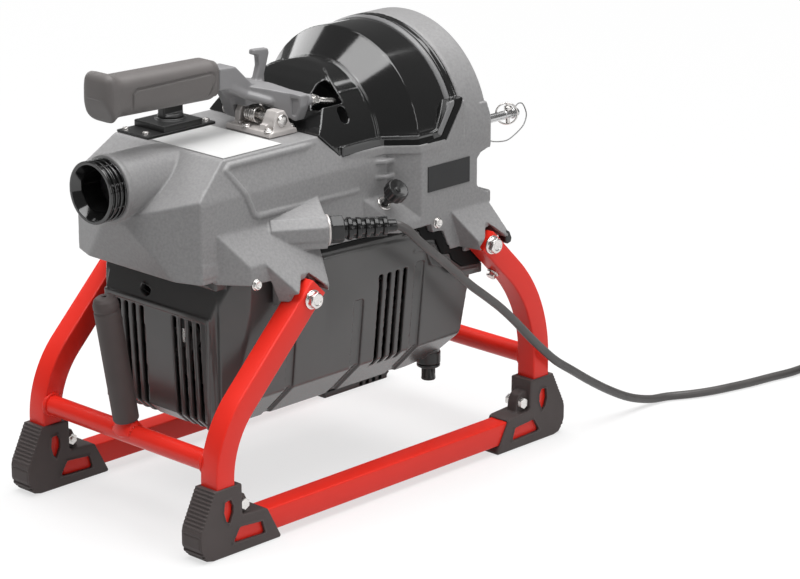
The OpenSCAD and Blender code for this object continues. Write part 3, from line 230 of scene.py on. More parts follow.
def mesh_object(name, points, faces, sharp=None):
    """A smooth mesh, with edges over an angle kept sharp."""
    mesh = bpy.data.meshes.new(name)
    mesh.from_pydata([tuple(p) for p in points], [], [tuple(f) for f in faces])
    mesh.update()
    mesh.polygons.foreach_set("use_smooth", [True] * len(mesh.polygons))
    if sharp:
        mesh.set_sharp_from_angle(angle=math.radians(sharp))
    return new_object(name, mesh)


# Mains cord: the source's route, then its coil, on one line

def unit(v):
    return np.array(v, float) / np.linalg.norm(v)


COIL_C = np.array([316.0, 688.0])
COIL_IN, LOOP, TURNS, LAYERS, COIL_A0, CORD_R = 45.0, 10.8, 3.125, 4, math.radians(167.4), 5.0
COIL_OUT = COIL_IN + TURNS * LOOP
TURN_STEPS, RISE_STEPS = 24, 12
LAYER_STEPS = TURN_STEPS * TURNS
COIL_DIR = np.array([math.sin(COIL_A0), -math.cos(COIL_A0), 0.0])
COIL_START = np.array([COIL_C[0] + COIL_OUT * math.cos(COIL_A0), COIL_C[1] + COIL_OUT * math.sin(COIL_A0), CORD_R])
RELIEF_END = BOSS + 76 * BOSS_DIR
ROUTE_M = [(0.1725, 0.0045, 0.3025), (0.1745, 0.013, 0.2935), (0.175, 0.024, 0.2835), (0.174, 0.041, 0.270),
    (0.172, 0.060, 0.2555), (0.170, 0.083, 0.237), (0.169, 0.107, 0.2175), (0.168, 0.131, 0.200),
    (0.167, 0.156, 0.181), (0.1665, 0.180, 0.160), (0.166, 0.203, 0.138), (0.166, 0.226, 0.117),
    (0.166, 0.251, 0.096), (0.166, 0.280, 0.077), (0.166, 0.311, 0.057), (0.166, 0.347, 0.036), (0.166, 0.384, 0.018),
    (0.167, 0.420, 0.007), (0.172, 0.446, 0.005), (0.186, 0.471, 0.005), (0.197, 0.497, 0.005), (0.205, 0.526, 0.005),
    (0.212, 0.556, 0.005), (0.217, 0.586, 0.005), (0.223, 0.616, 0.005)]


def coil_point(i):
    """Step i of the coil, which winds in and out by layers."""
    layer = int(i // (LAYER_STEPS + RISE_STEPS))
    j = i - layer * (LAYER_STEPS + RISE_STEPS)
    rest = max(j - LAYER_STEPS, 0)
    way = (min(j, LAYER_STEPS) + min(rest, RISE_STEPS - rest)) / TURN_STEPS
    r = COIL_OUT - way * LOOP if layer % 2 == 0 else COIL_IN + way * LOOP
    a = COIL_A0 - math.radians(360 / TURN_STEPS) * i
    return [COIL_C[0] + r * math.cos(a), COIL_C[1] + r * math.sin(a), CORD_R + (layer + rest / RISE_STEPS) * LOOP]


coil_steps = int(LAYERS * LAYER_STEPS + (LAYERS - 1) * RISE_STEPS)
coil_end = np.array(coil_point(coil_steps))
TAIL, PLUG_R = 110.0, 15.0
drop = coil_end[2] - PLUG_R - 1
tail = [coil_end + TAIL * f * COIL_DIR - np.array([0, 0, drop * f * f * (3 - 2 * f)])
        for f in (i / 8 for i in range(1, 9))]
plug_at = coil_end + (TAIL + 12) * COIL_DIR - np.array([0, 0, drop])
route = np.array(
    [BOSS - 20 * BOSS_DIR, BOSS + 20 * BOSS_DIR, RELIEF_END, RELIEF_END + 4 * BOSS_DIR - UP]
    + [np.array(p) / MM for p in ROUTE_M]
    + [COIL_START - 64 * COIL_DIR, COIL_START - 34 * COIL_DIR, COIL_START - 14 * COIL_DIR]
    + [np.array(coil_point(i)) for i in range(coil_steps + 1)] + tail + [plug_at]
)


def smooth_line(points, parts=4):
    """Points along a smooth curve through the given ones."""
    p = np.vstack([2 * points[0] - points[1], points, 2 * points[-1] - points[-2]])
    made = []
    for i in range(1, len(p) - 2):
        a, b, c, d = p[i - 1], p[i], p[i + 1], p[i + 2]
        s0 = (c - a) / (np.linalg.norm(b - a) + np.linalg.norm(c - b)) * np.linalg.norm(c - b)
        s1 = (d - b) / (np.linalg.norm(c - b) + np.linalg.norm(d - c)) * np.linalg.norm(c - b)
        for t in np.arange(parts) / parts:
            made.append((2 * t**3 - 3 * t**2 + 1) * b + (t**3 - 2 * t**2 + t) * s0
                        + (3 * t**2 - 2 * t**3) * c + (t**3 - t**2) * s1)
    return np.array(made + [p[-2]])


def curve_tube(name, line_mm, radius_mm, sides=3):
    """A round tube along a line, as a curve."""
    data = bpy.data.curves.new(name, "CURVE")
    data.dimensions = "3D"
    data.bevel_depth = radius_mm * MM
    data.bevel_resolution = sides
    data.use_fill_caps = True
    spline = data.splines.new("POLY")
    spline.points.add(len(line_mm) - 1)
    flat = np.ones((len(line_mm), 4))
    flat[:, :3] = np.array(line_mm) * MM
    spline.points.foreach_set("co", flat.ravel())
    spline.use_smooth = True
    return new_object(name, data)


cord_line = smooth_line(route)
cord = dress(curve_tube("mains_cord", cord_line, CORD_R), "stand", CORD, ["power_cord", "cord_coil"])

# Solids as distance fields, so that cast and moulded edges are round

def inset(poly, r):
    """The outline with each edge moved inwards by r."""
    p = np.array(poly, float)
    q = np.roll(p, -1, 0)
    if np.sum(p[:, 0] * q[:, 1] - q[:, 0] * p[:, 1]) < 0:
        p = p[::-1]
        q = np.roll(p, -1, 0)
    e = (q - p) / np.linalg.norm(q - p, axis=1)[:, None]
    n = np.stack([-e[:, 1], e[:, 0]], 1)
    before = np.roll(n, 1, 0)
    return p + r * (before + n) / (1 + (before * n).sum(1))[:, None]


def outline_distance(u, v, poly, r):
    """Signed distance to an outline with its outer corners rounded by r."""
    p = inset(poly, r).astype(np.float32)
    best, flips = None, None
    for (ax, ay), (bx, by) in zip(p, np.roll(p, -1, 0)):
        ex, ey = bx - ax, by - ay
        wx, wy = u - ax, v - ay
        t = np.clip((wx * ex + wy * ey) / (ex * ex + ey * ey), 0, 1)
        d = (wx - ex * t) ** 2 + (wy - ey * t) ** 2
        up, down, left = v >= ay, v < by, ex * wy > ey * wx
        flip = (up & down & left) | ~(up | down | left)
        best = d if best is None else np.minimum(best, d)
        flips = flip if flips is None else flips ^ flip
    return np.where(flips, -1, 1) * np.sqrt(best) - r


def join(a, b, k):
    """Either of two, with a fillet of size k between them."""
    if k <= 0:
        return np.minimum(a, b)
    h = np.maximum(k - np.abs(a - b), 0) / k
    return np.minimum(a, b) - h * h * k / 4


def both_in(a, b, r):
    """What is in both of two, with the edge between them rounded by r."""
    if r <= 0:
        return np.maximum(a, b)
    return np.minimum(np.maximum(a, b), -r) + np.hypot(np.maximum(a + r, 0), np.maximum(b + r, 0))


FAR = 1e4
# How far the flat regions of a skin may be simplified
FLATNESS = 0.015
RIGHT_LEFT = (("right", 1), ("left", -1))
OTHER_AXES = ((1, 2), (0, 2), (0, 1))


def prism(axis, poly, low, high, r=0.0):
    """An outline in the two other axes, drawn out along one axis. A shape is its distance and its box."""
    pts = np.array(poly, float)
    u, v = OTHER_AXES[axis]
    box = np.zeros((2, 3))
    box[:, axis] = low, high
    box[:, u] = pts[:, 0].min(), pts[:, 0].max()
    box[:, v] = pts[:, 1].min(), pts[:, 1].max()

    def distance(p):
        return both_in(outline_distance(p[u], p[v], pts, r), np.maximum(low - p[axis], p[axis] - high), r)
    return distance, box


def block(low, high, r=0.0):
    """A box between two corners."""
    return prism(2, [(low[0], low[1]), (high[0], low[1]), (high[0], high[1]), (low[0], high[1])], low[2], high[2], r)


def offset(p, at):
    return [p[i] - at[i] for i in range(3)]


def dot(a, b):
    return sum(a[i] * b[i] for i in range(3))


def along(p, at, way):
    """How far points are from a line, and how far along it."""
    q = offset(p, at)
    h = dot(q, way)
    return np.sqrt(np.maximum(dot(q, q) - h * h, 0)), h


def cube(at, reach):
    """The box within reach of a point."""
    return np.array([np.array(at) - reach, np.array(at) + reach])


def rod(at, way, radius, start, end, r=0.0):
    """A round bar along any direction."""
    way = unit(way)
    ends = np.array([np.array(at) + way * start, np.array(at) + way * end])
    reach = radius * np.sqrt(np.maximum(0, 1 - way * way)) + 0.1

    def distance(p):
        rho, h = along(p, at, way)
        return both_in(rho - radius, np.maximum(start - h, h - end), r)
    return distance, np.array([ends.min(0) - reach, ends.max(0) + reach])


def axle(radius, start, end, r=0.0):
    """A round bar along the cable's axis."""
    return rod((0, 0, AXIS_H), BACK, radius, start, end, r)


def bead(points, radius):
    """A round line through points."""
    pts = np.array(points, float)

    def distance(p):
        best = None
        for a, b in zip(pts[:-1], pts[1:]):
            e = b - a
            w = offset(p, a)
            t = np.clip(dot(w, e) / (e @ e), 0, 1)
            d = np.sqrt(sum((w[i] - e[i] * t) ** 2 for i in range(3)))
            best = d if best is None else np.minimum(best, d)
        return best - radius
    return distance, np.array([pts.min(0) - radius, pts.max(0) + radius])


def turned(poly, at=(0.0, AXIS_H), r=0.0):
    """An outline of [radius, y] points turned about a line along Y."""
    pts = np.array(poly, float)
    reach = pts[:, 0].max()
    box = np.array([[at[0] - reach, pts[:, 1].min(), at[1] - reach], [at[0] + reach, pts[:, 1].max(), at[1] + reach]])

    def distance(p):
        return outline_distance(np.hypot(p[0] - at[0], p[2] - at[1]), p[1], pts, r)
    return distance, box


def turned_on(poly, at, way, r=0.0):
    """An outline of [radius, height] points turned about any line."""
    pts, way = np.array(poly, float), unit(way)
    reach = np.hypot(pts[:, 0].max(), np.abs(pts[:, 1]).max())

    def distance(p):
        return outline_distance(*along(p, at, way), pts, r)
    return distance, cube(at, reach)


def framed(shape, at, axes, reach):
    """A shape written in its own axes, set at a point."""
    axes = [unit(a) for a in axes]

    def distance(p):
        q = offset(p, at)
        return shape[0]([dot(q, a) for a in axes])
    return distance, cube(at, reach)


def meet(r, *shapes):
    """What all the shapes share."""
    def distance(p):
        d = shapes[0][0](p)
        for s in shapes[1:]:
            d = both_in(d, s[0](p), r)
        return d
    return distance, np.array([np.max([s[1][0] for s in shapes], 0), np.min([s[1][1] for s in shapes], 0)])


def less(shape, cut, r=0.0):
    """A shape without another."""
    return (lambda p: both_in(shape[0](p), -cut[0](p), r)), shape[1]


def flipped(shape):
    """The mirror image of a shape, left for right."""
    box = shape[1].copy()
    box[:, 0] = -box[::-1, 0]
    return (lambda p: shape[0]([-p[0], p[1], p[2]])), box


# A shape as it is, and its mirror image
SIDES = (lambda s: s, flipped)


def squashed(shape, base, share):
    """A shape drawn flatter above a height."""
    return (lambda p: shape[0]([p[0], p[1], np.where(p[2] > base, base + (p[2] - base) / share, p[2])])), shape[1]


def ring_of(n, r, start=0.0):
    """Corners of a regular outline."""
    return [(r * math.cos(start + 2 * math.pi * i / n), r * math.sin(start + 2 * math.pi * i / n)) for i in range(n)]


def beyond(axis, low=-FAR, high=FAR):
    """All that lies between two limits on one axis."""
    box = np.array([[-FAR] * 3, [FAR] * 3])
    box[:, axis] = low, high
    return (lambda p: np.maximum(low - p[axis], p[axis] - high)), box


def mirrored(half):
    """Half an outline with its mirror image."""
    return list(half) + [(-x, y) for x, y in reversed(half)]


class Field:
    """Distances on a grid, in millimetres."""

    # Grid steps kept round the shapes, and those each side of a surface that are meshed
    MARGIN, BAND = 4, 5
    # Distance where there is nothing yet
    EMPTY = 40.0

    def __init__(self, low, high, step):
        self.step = step
        self.low = np.array(low, float) - self.MARGIN * step
        count = np.ceil((np.array(high) + self.MARGIN * step - self.low) / step).astype(int) + 1
        self.axes = [(self.low[i] + step * np.arange(count[i])).astype(np.float32) for i in range(3)]
        self.d = np.full(count, self.EMPTY, np.float32)

    def window(self, shape, k):
        """The grid's part round a shape, and its points."""
        pad = k + self.MARGIN * self.step
        cut = [slice(np.searchsorted(a, lo - pad), np.searchsorted(a, hi + pad))
               for a, lo, hi in zip(self.axes, *shape[1])]
        x, y, z = [a[c] for a, c in zip(self.axes, cut)]
        return tuple(cut), [x[:, None, None], y[None, :, None], z[None, None, :]]

    def add(self, shape, k=0.0):
        cut, p = self.window(shape, k)
        self.d[cut] = join(self.d[cut], shape[0](p), k)

    def cut(self, shape, k=0.0):
        cut, p = self.window(shape, k)
        self.d[cut] = -join(-self.d[cut], shape[0](p), k)

    def hollow(self, wall):
        """Leaves a wall inside the surface."""
        self.d = np.maximum(self.d, -(self.d + wall))

    def at(self, points):
        """Distances at points, between the grid's own."""
        g = (points - self.low) / self.step
        base = np.clip(np.floor(g).astype(int), 0, np.array(self.d.shape) - 2)
        f = g - base
        total = 0
        for i in range(8):
            o = np.array([i >> 2 & 1, i >> 1 & 1, i & 1])
            w = np.prod(np.where(o, f, 1 - f), axis=1)
            total = total + w * self.d[tuple((base + o).T)]
        return total

    def skin(self, name, body, slot, finish, replaced=(), flip=(1, 1, 1)):
        """The surface as a dressed mesh, mirrored where flip is -1."""
        limit = self.BAND * self.step
        grid = openvdb.FloatGrid(limit)
        grid.copyFromArray(np.clip(self.d, -limit, limit))
        points, tris, quads = grid.convertToPolygons(0.0, FLATNESS)
        points = points.astype(np.float64) * self.step + self.low
        normals = np.stack([self.at(points + e) - self.at(points - e) for e in np.eye(3) * 0.6 * self.step], 1)
        normals /= np.maximum(np.linalg.norm(normals, axis=1), 1e-9)[:, None]
        a, b, c = (points[tris[:, i]] if len(tris) else points[quads[:, i]] for i in range(3))
        out = normals[tris[:, 0]] if len(tris) else normals[quads[:, 0]]
        if np.sum(np.cross(b - a, c - a) * out) * np.prod(flip) < 0:
            tris, quads = tris[:, ::-1], quads[:, ::-1]
        points, normals = points * flip, normals * flip
        mesh = bpy.data.meshes.new(name)
        mesh.vertices.add(len(points))
        mesh.vertices.foreach_set("co", (points * MM).astype(np.float32).ravel())
        corners = np.concatenate([tris.ravel(), quads.ravel()]).astype(np.int32)
        mesh.loops.add(len(corners))
        mesh.loops.foreach_set("vertex_index", corners)
        sizes = np.concatenate([np.full(len(tris), 3), np.full(len(quads), 4)]).astype(np.int32)
        mesh.polygons.add(len(sizes))
        mesh.polygons.foreach_set("loop_start", (np.cumsum(sizes) - sizes).astype(np.int32))
        mesh.polygons.foreach_set("use_smooth", np.ones(len(sizes), bool))
        mesh.update(calc_edges=True)
        mesh.validate()
        mesh.normals_split_custom_set_from_vertices(normals.tolist())
        return dress(new_object(name, mesh), body, finish, replaced)

    def skin_pair(self, tail, *look):
        """A piece on the right, and its mirror image on the left."""
        for word, sx in RIGHT_LEFT:
            self.skin(word + tail, *look, flip=(sx, 1, 1))


# Upper housing

def leg_room(bolt_y, side, deep, shallow):
    """Room for a leg's end: a square channel at 45 degrees, deep beside the leg and shallow round its end."""
    s = TUBE / 2 + 0.3
    place = ((LEG_X - TUBE / 2, bolt_y, BOLT_H), (RIGHT, (0, side, 1), (0, -side, 1)), 110)
    return [framed(block((0, -s, -90), (60, s + deep[0], deep[1])), *place),
        framed(block((14, -s, -90), (60, s + shallow[0], shallow[1])), *place)]


def undercut(top, low):
    """What lies before the facet of an ear that leans in below its ridge."""
    d = unit(np.array(low) - top)
    flat = unit((d[1], -d[0], 0))
    n = unit(flat + 0.53 * np.cross(d, flat))
    return meet(0, framed(block((0, -90, -90), (60, 90, 90)), top, (n, d, np.cross(n, d)), 150), beyond(0, top[0]),
        beyond(1, top[1] - 8, low[1] + 8))


def upper_housing():
    f = Field((-153, -266, 245), (153, 187, 494), 1.25)
    f.add(meet(1.6, prism(1, mirrored([(98, 275), (98, 359), (84, TOP_H)]), -260, 76, 1.8),
        prism(0, [(74.5, 275), (74.5, HOOD_H), (-16.5, HOOD_H), (-42.5, TOP_H), (-179, TOP_H), (-254, 339.3),
        (-254, 331.3), (-233.3, 275)], -110, 110, 1.8), prism(2, mirrored([(98, 74.5), (98, -222), (15.95, -254)]),
        270, 402, 2.5)))
    # Nose
    f.add(meet(2.0, axle(35, -264, -150, 2.0), prism(0, [(-266, 300), (-266, 420), (-214, 403.5), (-179, TOP_H),
        (-150, TOP_H), (-150, 300)], -60, 60, 0)), 1.8)
    f.add(axle(36.2, -264, -258, 1.2), 1.0)
    # Rear block and arch
    f.add(prism(2, mirrored([(124.5, 181), (124.5, 74.5), (98, 48)]), BLOCK_BOTTOM, HOOD_H, 1.8), 1.2)
    arch = squashed(axle(124.5, 140, 181, 4.0), AXIS_H, ARCH_RISE)
    f.add(meet(2.5, arch, beyond(2, AXIS_H - 6)), 1.0)
    # Thicker rear edge above and below the side notches, and the corner below the hood's lip
    f.add(meet(1.0, prism(0, [(170, 348), (184, 351), (185, 355), (185, 388), (181, 403), (170, 403)],
        -140, 140, 0.8), prism(1, mirrored([(124.5, 340), (124.5, 380), (121, 404)]), 0, 300, 2.0)), 1.0)
    f.add(prism(0, [(170, 286), (181, 284), (185, 290), (185, 301), (180, 305), (170, 305)], -124.5, 124.5, 1.0), 1.0)
    for x0, x1 in ((-124.5, -104), (104, 124.5)):
        f.add(prism(0, [(142, 366), (142, 414), (136.5, 406), (113, 371), (113, 366)], x0, x1, 1.0), 1.0)
    f.add(meet(0.8, prism(2, mirrored([(98, -222), (99, -150), (103, -54), (117, 95), (124.5, 112), (124.5, 178)]),
        SEAM_H, SEAM_H + 20, 1.0), prism(1, mirrored([(118, SEAM_H), (118, SEAM_H + 2), (90, SEAM_H + 20)]),
        -300, 300, 0.8)), 1.0)
    f.cut(prism(0, [(-62, 200), (-62, SEAM_H), (90, SEAM_H), (92.5, 272.5), (108.6, 270.7), (117.7, BLOCK_BOTTOM),
        (400, BLOCK_BOTTOM), (400, 200)], -200, 200))
    f.cut(block((-94, -203, 240), (94, -61, SEAM_H)))
    for side in SIDES:
        f.add(side(meet(1.2, prism(1, [(90, 334.4), (98, 325), (152, 261), (152, 247.5), (125.8, 247.5), (125.5, 272),
            (90, 272)], -300, 300, 1.0), prism(2, [(90, -201.6), (98, -201.6), (125.8, -180), (125.8, -160),
            (152, -138), (152, -93), (129, -82), (90, -65)], 247, 336, 1.2))), 1.2)
        f.cut(side(undercut((125.8, -160, 292), (152, -138, 261))), 0.8)
        f.cut(side(block((127, -133, 240), (160, -60, 254))), 0.8)
        f.add(side(meet(1.2, prism(1, [(116, 301), (124.5, 291), (152, 258.5), (152, 246.5), (124.5, 246.5),
            (116, BLOCK_BOTTOM)], -300, 300, 1.0), prism(2, [(116, 119.6), (124.5, 119.6), (152, 136), (152, 186),
            (124.5, 181), (116, 181)], 246, 302, 1.2))), 1.2)
        f.cut(side(undercut((124.5, 119.6, 291), (152, 136, 258.5))), 0.8)
        f.cut(side(block((126, 150, 240), (160, 200, BLOCK_BOTTOM))), 0.8)
        # Rim round the foot of the hood
        f.add(side(prism(2, [(90, -17), (93.6, -17), (98.2, 44), (124.6, 73.4), (124.6, 112), (120.5, 112),
            (120.5, 76.5), (92, 48)], 364, 374, 0.8)), 0.8)
        f.add(side(meet(0.8, prism(1, [(92, 320), (98, 320), (126.5, 289), (126.5, SEAM_H), (92, SEAM_H)],
            -300, 300, 0.8), prism(2, [(92, 12), (98, 12), (124.5, 41), (124.5, 76), (92, 50)], SEAM_H, 322, 0.8))),
            1.0)
        for z in (355, 338):
            f.add(side(prism(2, [(97, 29), (104, 40), (104, 54), (92, 48), (92, 29)], z, z + 5, 1.5)), 2.0)
        # Raised frame of the bare panel
        f.add(side(bead([(82.0, -44, 391), (85.3, -66, 391), (85.5, -172, 391), (86.5, -178, 387), (96.4, -160, 361),
            (96.6, -149, 337.5), (96.8, -143, 334), (95, 4, 331.5)], 3.8)), 1.2)
        f.add(side(block((112.8, -139, 236), (125.8, -97, 276), 2)), 2.0)
        f.add(side(block((115.8, 141, 236), (125.8, 175, 256), 2)), 2.0)
    boss = framed(prism(2, ring_of(8, 18.4, math.pi / 8), -62, 0, 1.0), BOSS, BOSS_AXES, 70)
    f.add(meet(1.0, boss, beyond(0, 90)), 1.0)
    # Sloped shoulder from the wall to the boss
    f.add(meet(0.8, framed(prism(2, [(-50, -16), (-50, 33.5), (4, 17.4), (16, 6), (16, -16)], -72, -1.5, 0.8), BOSS,
        BOSS_AXES, 95), beyond(0, 90)), 1.0)
    f.hollow(4.5)
    f.add(block((-36, -149, SEAM_H + 8), (36, -131, 396)))
    f.add(axle(36, 165, 180))
    for side in SIDES:
        f.add(side(block((51, 159, 294), (121, 178, 356))))
        f.cut(side(prism(0, [(182, 300), (169, 306), (163, 312), (163, 342), (169, 348), (182, 352)], 55, 140, 1.5)),
            1.0)
        for room in leg_room(-FRONT_BOLT, -1, (0, 22), (7, 22)) + leg_room(REAR_BOLT, 1, (6, 7.3), (6, 14)):
            f.cut(side(room), 0.4)
    # Bores for the cable, clutch, coupling and bearings, and the open deck under the hood
    for bore in ((24, -270, -146), (30.5, -37, 20), (29.1, -270, -250), (25.5, -147, -130), (25.5, 150, 178),
            (21, 150, 190)):
        f.cut(axle(*bore))
    f.cut(block((-80, -14, 355), (80, 71, 380)))
    f.cut(rod(BOSS, BOSS_DIR, 12.1, -12, 3))
    # Hole of the side knob
    f.cut(rod((104, 36, 311.5), (0.7193, 0, 0.6947), 4.2, -14, 30))
    f.skin("upper_housing_casting", "stand", "grey_paint", GREY, ["upper_housing"])


# Tub

# The slanted eye in the front of the tub
EYE = (-22, -194, 240)
EYE_SIDES = ((0.94, 0, -0.34), (0.34, 0, 0.94))


def lower_housing():
    f = Field((-123, -202, 94), (123, 175, 278), 1.15)
    f.add(meet(2.0, prism(1, mirrored([(62, 97), (100.9, 136), (115, 271.7)]), -300, 300, 8.0),
        prism(0, [(-182, 271.7), (-200, 230), (-194, 112), (-178, 97), (112, 97), (151, 104), (163, 141), (171, 212),
        (171, 216), (139, 218), (123, 229), (107, 238), (100, 256), (83, 258), (79, 271.7)], -300, 300, 1.5),
        prism(0, [(-400, 97), (112, 97), (151, 104), (163, 141), (172, 215), (172, 400), (-400, 400)],
        -300, 300, 16.0), prism(2, mirrored([(83, -200), (85, -192), (90, -192), (112, -168), (106, -54), (115, 95),
        (115, 172)]), 97, 300, 1.2)))
    # Rim of the grille
    for x0, x1, z0, z1 in ((-81, 81, 225, 231), (-83, -77, 108, 231), (77, 83, 108, 231)):
        f.add(prism(1, [(x0, z0), (x1, z0), (x1, z1), (x0, z1)], -201.6, -192, 1.0), 0.8)
    # Channels down the sides and over the bevels
    for side in SIDES:
        for y0, y1, top in ((-110, -98, 200), (-13, 2, 214), (79, 94, 238)):
            f.cut(side(meet(1.5, block((40, y0, 90), (130, y1, top), 4.0),
                prism(1, [(130, 90), (130, 245), (109, 245), (97.6, 137.4), (59.8, 99.2), (49, 88)], -300, 300))),
                1.0)
    f.hollow(4.0)
    ring = less(prism(2, mirrored([(93.5, -200), (93.5, -61.5), (101, -56), (115, 94), (122, 112), (122, 174)]),
        150, 300, 1.0), prism(2, mirrored([(84, -190.5), (84, -71), (91.5, -65), (105.5, 94), (112.5, 112),
        (112.5, 164.5)]), 140, 310))
    f.add(meet(0.8, ring, prism(0, [(-202, 263.5), (-202, 276.4), (79, 276.4), (83, 263.5), (101.5, 261),
        (108.5, 243.5), (121, 242), (124.5, 234), (140.5, 222.5), (166, 220.5), (180, 220.5), (180, 208.5),
        (137, 210.5), (118, 226), (99, 231), (92, 248.5), (75, 251), (71, 263.5)], -200, 200, 0.8)), 0.8)
    for side in SIDES:
        # Ridge along the stepped rim
        f.add(side(bead([(112.6, 58, 273.2), (114.0, 79.6, 273.2), (114.8, 83.6, 259.2), (118.2, 100, 256.4),
            (120.4, 106.4, 239.4), (122.2, 119.6, 238), (122.2, 123, 230.4), (122.2, 139.6, 218.2),
            (122.2, 166, 216)], 1.1)), 0.8)
        for i in range(4):
            y = 24 + i * 12.3
            f.cut(side(block((72, y - 0.4, 129), (140, y + 5.8, 235.5), 1.6)), 0.8)
            x = 26 + i * 12.3
            f.cut(side(block((x - 3.2, -210, 90), (x + 3.2, -177, 222), 1.6)), 0.8)
    eye = framed(block((-8, -4.6, -30), (8, 4.6, 30), 4.5), EYE, (*EYE_SIDES, BACK), 32)
    f.add(framed(block((-9.8, -6.2, -1.2), (9.8, 6.2, 6), 5.5), EYE, (*EYE_SIDES, (0, 1, 0.42)), 14), 1.0)
    f.cut(eye)
    f.add(rod(DRAIN, UP, 13, 0, 22, 1.0), 2.0)
    f.cut(rod(DRAIN, UP, 7.1, -2, 40))
    f.skin("lower_housing_tub", "stand", "grey_plastic", TUB, ["lower_housing"])


# Hood

def clutch_hood():
    f = Field((-126, -44, 371), (126, 141, 492), 1.1)

    def low(shape):
        return squashed(shape, AXIS_H, ARCH_RISE)
    # Drum and cone, cut by a front that bends back
    f.add(meet(1.0, low(turned([(0, -46), (91.5, -46), (91.5, 42), (121, 74.5), (121, 139.7), (0, 139.7)], r=0.8)),
        prism(0, [(139.7, HOOD_H), (-16.2, HOOD_H), (-42.2, TOP_H), (-36, 407), (-28, 418), (-17, 430), (-4, 441),
        (10, 449.5), (25, 455.5), (42, 459), (60, 600), (139.7, 600)], -200, 200, 0)))
    f.add(prism(2, mirrored([(95, -16.2), (95, 42), (122, 72), (122, 139.7)]), HOOD_H, HOOD_H + 11, 1.0), 1.0)
    f.add(meet(0, low(turned([(88, 40), (92.8, 40), (93.4, 42.6), (88, 42.6)], r=0.8)), beyond(2, HOOD_H)), 0.6)
    # Lip along the arch, its lower corners, and the thin edge of the skirt
    f.add(meet(0.6, low(turned([(117, 129.6), (124.2, 129.6), (124.6, 135), (123.6, 135.4), (123.6, 136.2),
        (124.6, 136.6), (124.6, 139.7), (117, 139.7)], r=0.3)), beyond(2, 405)), 0.6)
    for side in SIDES:
        f.add(side(prism(0, [(119.5, 414), (140, 416), (136.5, 406), (112.5, 371), (94, 371), (94, 384), (101, 386)],
            112, 123.2, 1.0)), 0.6)
        f.add(side(bead([(94.4, -13, 383.2), (94.4, 42, 383.2), (121.4, 72, 383.2), (121.6, 97, 383.2)], 1.3)), 0.8)
    f.hollow(3.0)
    for side in SIDES:
        f.cut(side(prism(0, [(142, 366), (142, 415), (136.9, 407), (112.4, 370.5), (112.4, 366)], 103, 130)))
        f.add(side(prism(0, [(139.7, 416), (134, 408.5), (109.6, 371), (112.4, 371), (136.6, 407), (139.7, 411)],
            103, 121)))
        # Openings for the link rods with a raised edge, and the slanted hole beside each
        f.cut(side(prism(1, [(45, 431), (58, 419), (69, 420), (73, 427), (66, 437), (50, 447), (43, 441)],
            -60, 8, 2)), 0.8)
        f.add(side(bead([(32, 19, 452.5), (44, 12, 446.8), (54, 9, 440.6), (64, 7.4, 432.4), (71, 7, 424.6)], 1.2)),
            0.8)
        f.add(side(bead([(62.8, 12, 432.6), (63.4, 38, 432.2)], 0.9)), 0.8)
        hole = framed(prism(2, [(-9.5, -3), (-5, -6), (5, -6), (9.5, -3), (9.5, 3), (5, 6), (-5, 6), (-9.5, 3)],
            -16, 16, 3.5), (79.5, 1, 413.5), ((0.5, 0.06, -0.86), (0, -1, 0), (0.86, 0, 0.5)), 24)
        f.cut(side(hole), 1.2)
    f.cut(block((-130, -60, 360), (130, 141, HOOD_H)))
    f.cut(axle(30.5, -34.5, -9))
    f.cut(meet(0, beyond(1, 136.5, 145), axle(113, 130, 145)))
    f.skin("clutch_hood_cover", "stand", "black_plastic", BLACK, ["clutch_hood"])
    # Lighter trim before the lip
    f = Field((-126, 98, 374), (126, 134, 492), 1.0)
    f.add(meet(0.5, low(turned([(118, 122.6), (121.8, 122.6), (124, 125), (124, 129), (118, 129)], r=0.5)),
        beyond(2, 411)))
    for side in SIDES:
        f.add(side(prism(0, [(119, 413.5), (126, 414.5), (125, 409), (105, 378.2), (99.5, 381.5)], 118, 124.5, 0.8)),
            0.8)
    f.skin("hood_trim_band", "stand", "black_plastic", TRIM)
    # Seal under the hood's edge
    f = Field((-126, -18, 369), (126, 141, 418), 1.0)
    f.add(meet(0, less(prism(2, mirrored([(96.4, -16.4), (96.4, 43), (122.8, 72.6), (122.8, 110)]),
        372.2, 381.0, 0.8), prism(2, mirrored([(91, -30), (91, 44), (118, 74), (118, 120)]), 370, 390)),
        beyond(1, 44)))
    for side in SIDES:
        f.add(side(prism(0, [(139.6, 415), (136.2, 406.6), (112, 370.8), (84, 371.4), (84, 376), (101, 377.4),
            (105.4, 377.6), (125.6, 408.6), (126.6, 415)], 119, 124.2, 0.6)), 0.6)
    f.skin("hood_edge_seal", "stand", "rubber", SEAL)


# Lever, grip and bracket

PIVOT = (-66.0, TOP_H + 16)
LINK, LINK_DIR = (61, -35, 432.8), (0, 0.977, -0.212)


def pivot_bar(radius, start, end, r=0.0):
    """A round bar along the lever's pivot."""
    return rod((0, *PIVOT), RIGHT, radius, start, end, r)


